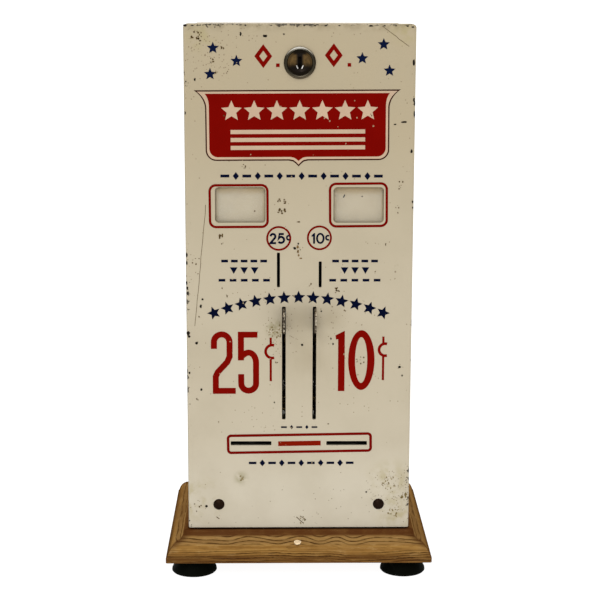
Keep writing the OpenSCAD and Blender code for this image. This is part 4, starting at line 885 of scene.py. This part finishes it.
# scattered spots: x, drop, radius of the place, count, size of a spot
RUSTY_PLACES = (
    (-71.6, 9.7, 4.6, 16, 1.4), (-54.2, 16.4, 1.4, 4, 1.4), (-61.7, 25.1, 1.8, 6, 1.5),
    (-15.1, 123.6, 1.4, 4, 1.5), (-11.0, 124.8, 1.8, 5, 1.4), (-12.6, 131.6, 2.6, 9, 1.5),
    (-1.5, 138.6, 1.4, 3, 1.3), (0.2, 159.6, 2.8, 6, 0.9), (26.9, 189.4, 2.4, 9, 1.3),
    (-56.2, 149.5, 1.6, 4, 1.7), (-54.8, 155.2, 0.8, 2, 1.1), (-74.4, 167.2, 3.0, 5, 1.2),
    (-72.4, 176.9, 0.6, 2, 0.9), (-54.8, 187.2, 0.8, 2, 1.1), (-52.0, 193.4, 1.0, 3, 1.1),
    (-72.7, 208.0, 0.8, 2, 1.2), (-74.4, 270.3, 0.8, 2, 1.1), (-58.6, 287.3, 0.6, 2, 1.0),
    (21.6, 288.3, 0.6, 2, 1.0), (-50.8, 33.4, 0.8, 2, 1.2), (-58.9, 34.0, 0.8, 2, 1.1),
    (-53.3, 64.1, 0.8, 2, 1.0), (50.8, 62.9, 0.8, 2, 1.0), (-17.0, 243.0, 1.4, 3, 0.9),
    (44.6, 240.0, 3.4, 8, 0.9), (32.8, 204.4, 0.8, 2, 1.0), (62.0, 155.2, 0.8, 2, 1.0),
    (55.1, 175.7, 0.8, 2, 1.0), (7.0, 185.6, 2.6, 4, 0.9), (72.0, 113.0, 3.4, 5, 1.1),
    (-38.2, 99.5, 2.8, 5, 0.9), (72.0, 131.0, 4.0, 4, 0.9), (-76.0, 352.0, 4.0, 5, 1.1),
)
DIRTY_PLACES = (
    (-16.6, 219.2, 5.2, 26, 1.1), (-42.5, 330.1, 1.8, 6, 1.5), (67.0, 334.0, 6.0, 24, 0.9),
    (77.5, 344.0, 2.4, 6, 1.6), (70.5, 356.0, 4.4, 14, 1.1), (2.0, 362.5, 3.4, 12, 1.0),
)
# scratches: start, end, steps, width
SCRATCHES = (
    ((-66.8, 127.2), (-75.3, 215.4), 14, 0.32), ((57.5, 1.4), (76.6, 15.6), 8, 0.30),
    ((-1.6, 360.0), (3.4, 365.0), 4, 0.55), ((1.2, 359.4), (5.6, 362.6), 4, 0.40),
    ((-60.9, 359.6), (-59.0, 361.6), 3, 0.6),
)


def blot(x, drop, wide, tall):
    """An irregular patch; its corners lie between its full reach and a ragged share less."""
    points, ragged, swell = 11, 0.35, 1.3
    start = random.random() * TAU
    result = []
    for i in range(points):
        a = start + TAU * i / points
        reach = swell / 2 * (1 - ragged * random.random())
        result.append((x + wide * reach * math.cos(a), drop + tall * reach * math.sin(a)))
    return [result]


def scratch(path, width):
    """A thin, uneven line."""
    wobbly = [(x + random.uniform(-0.25, 0.25), y + random.uniform(-0.25, 0.25)) for x, y in path]
    return [stroke(wobbly, width)]


def between(start, end, steps):
    return [(start[0] + (end[0] - start[0]) * i / steps, start[1] + (end[1] - start[1]) * i / steps)
            for i in range(steps + 1)]


def cluster(x, drop, spread, count, size):
    """Small spots scattered round a place."""
    spots = []
    for _ in range(count):
        a, far = random.random() * TAU, spread * math.sqrt(random.random())
        s = size * random.uniform(0.4, 1.0)
        spots.append(blot(x + far * math.cos(a), drop + far * math.sin(a), s, s * random.uniform(0.6, 1.5)))
    return spots


def face_damage(dark, rust, brown, olive):
    """Chips, drips, spots and scratches of the paint, the large ones where the photograph has them."""
    film("chips_dark", [blot(*chip) for chip in EDGE_CHIPS + TOP_CHIPS + FACE_CHIPS], dark, BLOT_UP)
    film("chips_brown", [blot(*drip) for drip in DRIPS], brown, BLOT_UP)
    film("chips_rust", [spot for place in RUSTY_PLACES for spot in cluster(*place)], rust, BLOT_UP)
    film("chips_olive", [spot for place in DIRTY_PLACES for spot in cluster(*place)], olive, BLOT_UP)
    lines = [scratch(between(start, end, steps), width) for start, end, steps, width in SCRATCHES]
    film("scratches", lines, rust, INK_UP)


def wood_chip(look):
    """A splash of cream paint on the slope of the base's front moulding."""
    x, y = -1.0 * MM, FACE_Y - 8.5 * MM
    _, point, normal, _ = nodes["plinth"].ray_cast(Vector((x, y, 1.0)), Vector((0.0, 0.0, -1.0)))
    across, along = 2.8 * MM, 4.2 * MM
    steps, rings, rise = 14, 3, 0.75 * MM
    vertices, faces = [(0.0, 0.0, rise)], []
    for ring in range(1, rings + 1):
        share = ring / rings
        for i in range(steps):
            a = TAU * i / steps
            wobble = 1 + 0.10 * math.sin(3 * a + 0.7) + 0.05 * math.sin(5 * a)
            vertices.append((across * share * wobble * math.cos(a), along * share * wobble * math.sin(a),
                             rise * (1 - share ** 2) - 0.06 * MM))
    for i in range(steps):
        j = (i + 1) % steps
        faces.append((0, 1 + i, 1 + j))
        for ring in range(rings - 1):
            a, b = 1 + ring * steps, 1 + (ring + 1) * steps
            faces.append((a + i, b + i, b + j, a + j))
    faces.append(tuple(1 + (rings - 1) * steps + i for i in reversed(range(steps))))
    mesh = bpy.data.meshes.new("wood_chip")
    mesh.from_pydata(vertices, [], faces)
    turn = normal.to_track_quat("Z", "Y").to_matrix().to_4x4()
    mesh.transform(Matrix.Translation(point) @ turn)
    mesh.materials.append(look)
    obj = bpy.data.objects.new("wood_chip", mesh)
    scene.collection.objects.link(obj)
    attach(obj, "case")


# ---------- the scene ----------

def dress(looks, chute):
    """Gives each CAD node the material of its slot in the record; the chutes get a near-black look, painted
    shade inside the coin slots.
    """
    for part in frame["record"]["subparts"]:
        mesh = nodes[part["node"]].data
        mesh.materials.clear()
        is_chute = part["node"].startswith("coin_chute")
        mesh.materials.append(chute if is_chute else looks[part["material_slot"]])


def make_floor():
    mesh = bpy.data.meshes.new("floor")
    half = 30.0
    corners = [(-half, -half, 0), (half, -half, 0), (half, half, 0), (-half, half, 0)]
    mesh.from_pydata(corners, [], [(0, 1, 2, 3)])
    mesh.materials.append(floor_look())
    floor = bpy.data.objects.new("floor", mesh)
    scene.collection.objects.link(floor)


def make_world():
    """A pale room: white behind the machine, duller on the side that lights its face."""
    world = bpy.data.worlds.new("studio")
    scene.world = world
    world.use_nodes = True
    tree = world.node_tree
    tree.nodes.clear()
    output = tree.nodes.new("ShaderNodeOutputWorld")
    back = tree.nodes.new("ShaderNodeBackground")
    split = tree.nodes.new("ShaderNodeSeparateXYZ")
    place = tree.nodes.new("ShaderNodeTexCoord")
    tree.links.new(place.outputs["Generated"], split.inputs[0])

    def grade(source, low, high, start, end):
        node = tree.nodes.new("ShaderNodeMapRange")
        for socket, number in zip(node.inputs[1:5], (low, high, start, end)):
            socket.default_value = number
        tree.links.new(source, node.inputs[0])
        return node.outputs[0]

    behind = grade(split.outputs[1], 0.2, 0.7, 0.0, 0.85)
    above = grade(split.outputs[2], 0.0, 0.85, 0.34, 0.95)
    most = tree.nodes.new("ShaderNodeMath")
    most.operation = "ADD"
    tree.links.new(behind, most.inputs[0])
    tree.links.new(above, most.inputs[1])
    tree.links.new(most.outputs[0], back.inputs["Strength"])
    back.inputs["Color"].default_value = (1.0, 0.99, 0.975, 1.0)
    tree.links.new(back.outputs[0], output.inputs[0])


def make_key_light():
    """A large soft light above and in front, a little to the left."""
    light = bpy.data.lights.new("key", "SUN")
    light.energy = 1.0
    light.angle = math.radians(38)
    light.color = (1.0, 0.985, 0.955)
    lamp = bpy.data.objects.new("key", light)
    lamp.rotation_euler = (math.radians(48), 0.0, math.radians(-14))
    scene.collection.objects.link(lamp)


def make_camera():
    """The photograph's view, solved from the face's edges and the base's corners."""
    lens_px, sensor, image_px = 1568.5, 36.0, 600
    x, away, height = -18.2 * MM, 1108.5 * MM, 428.5 * MM
    pitch, yaw, roll = 0.1979, 0.0169, 0.0027
    data = bpy.data.cameras.new("camera")
    data.sensor_width = sensor
    data.lens = lens_px * sensor / image_px
    data.clip_end = 100.0
    camera = bpy.data.objects.new("camera", data)
    turn = (Matrix.Rotation(-yaw, 4, "Z") @ Matrix.Rotation(math.pi / 2 - pitch, 4, "X")
            @ Matrix.Rotation(roll, 4, "Z"))
    camera.matrix_world = Matrix.Translation((x, FACE_Y - away, height)) @ turn
    scene.collection.objects.link(camera)
    scene.camera = camera


def main():
    scene.view_settings.view_transform = "Standard"
    navy = ink("ink_navy", NAVY)
    banner = ink("ink_banner", BANNER_RED)
    outline = ink("ink_outline", OUTLINE_RED)
    line_red = ink("ink_frames", FRAME_RED)
    numeral = ink("ink_numerals", NUMERAL_RED)
    cream_face = cream_paint("cream_face", True)
    brass = metal("brass", (0.24, 0.16, 0.06), 0.36, (0.10, 0.06, 0.024))
    dress({
        "wood": wood(), "foot_rubber": rubber(), "case_paint": cream_paint("cream_case", False),
        "door_paint": cream_face,
        "steel": metal("steel", (0.46, 0.46, 0.45), 0.32, (0.24, 0.22, 0.19)),
        "plated_steel": metal("zinc", (0.56, 0.55, 0.50), 0.36, (0.30, 0.27, 0.20), 0.4, (0.3, 1.0, 1.0)),
        "lever_steel": lever_steel(), "brass": brass, "lock_chrome": lock_chrome(),
        "lock_brass": plug_brass(),
        "rivet_dark": metal("rivet_dark", (0.016, 0.009, 0.006), 0.55, (0.035, 0.018, 0.010), 0.4),
        "window_glass": glass(), "card": card(),
        "weight_iron": metal("iron", (0.20, 0.20, 0.205), 0.5, (0.10, 0.085, 0.07)),
        "box_paint": metal("box_grey", (0.23, 0.25, 0.245), 0.45, (0.12, 0.12, 0.11)),
    }, chute_painted_shade())
    print_stars(ink("ink_stars", STAR_BLUE))
    print_marks_beside_lock(numeral)
    print_banner(banner, outline, ink("ink_blush", BLUSH))
    print_row("print_row_top", -53.0, 56.0, 106.4, 15, (6.2, 2.0), (4.4, 5.6), navy)
    print_window_frames(line_red)
    print_price_circles(line_red, navy)
    print_hints(navy)
    print_arch(navy)
    print_prices(numeral)
    print_row("print_row_receive", -11.0, 11.4, 291.1, 5, (4.2, 1.2), (2.4, 3.2), navy)
    print_delivery(line_red, ink("ink_bar", BAR_RED))
    print_row("print_row_bottom", -34.0, 37.5, 318.4, 11, (5.6, 1.8), (4.2, 5.2), navy)
    print_card_marks(navy)
    face_damage(blot_look("chip_dark", (0.0085, 0.0065, 0.0045)),
                blot_look("chip_rust", (0.058, 0.036, 0.013)),
                blot_look("chip_brown", (0.125, 0.075, 0.028)),
                blot_look("chip_olive", (0.14, 0.105, 0.045)))
    wood_chip(blot_look("splash", (0.656, 0.521, 0.346)))
    make_floor()
    make_world()
    make_key_light()
    make_camera()


main()
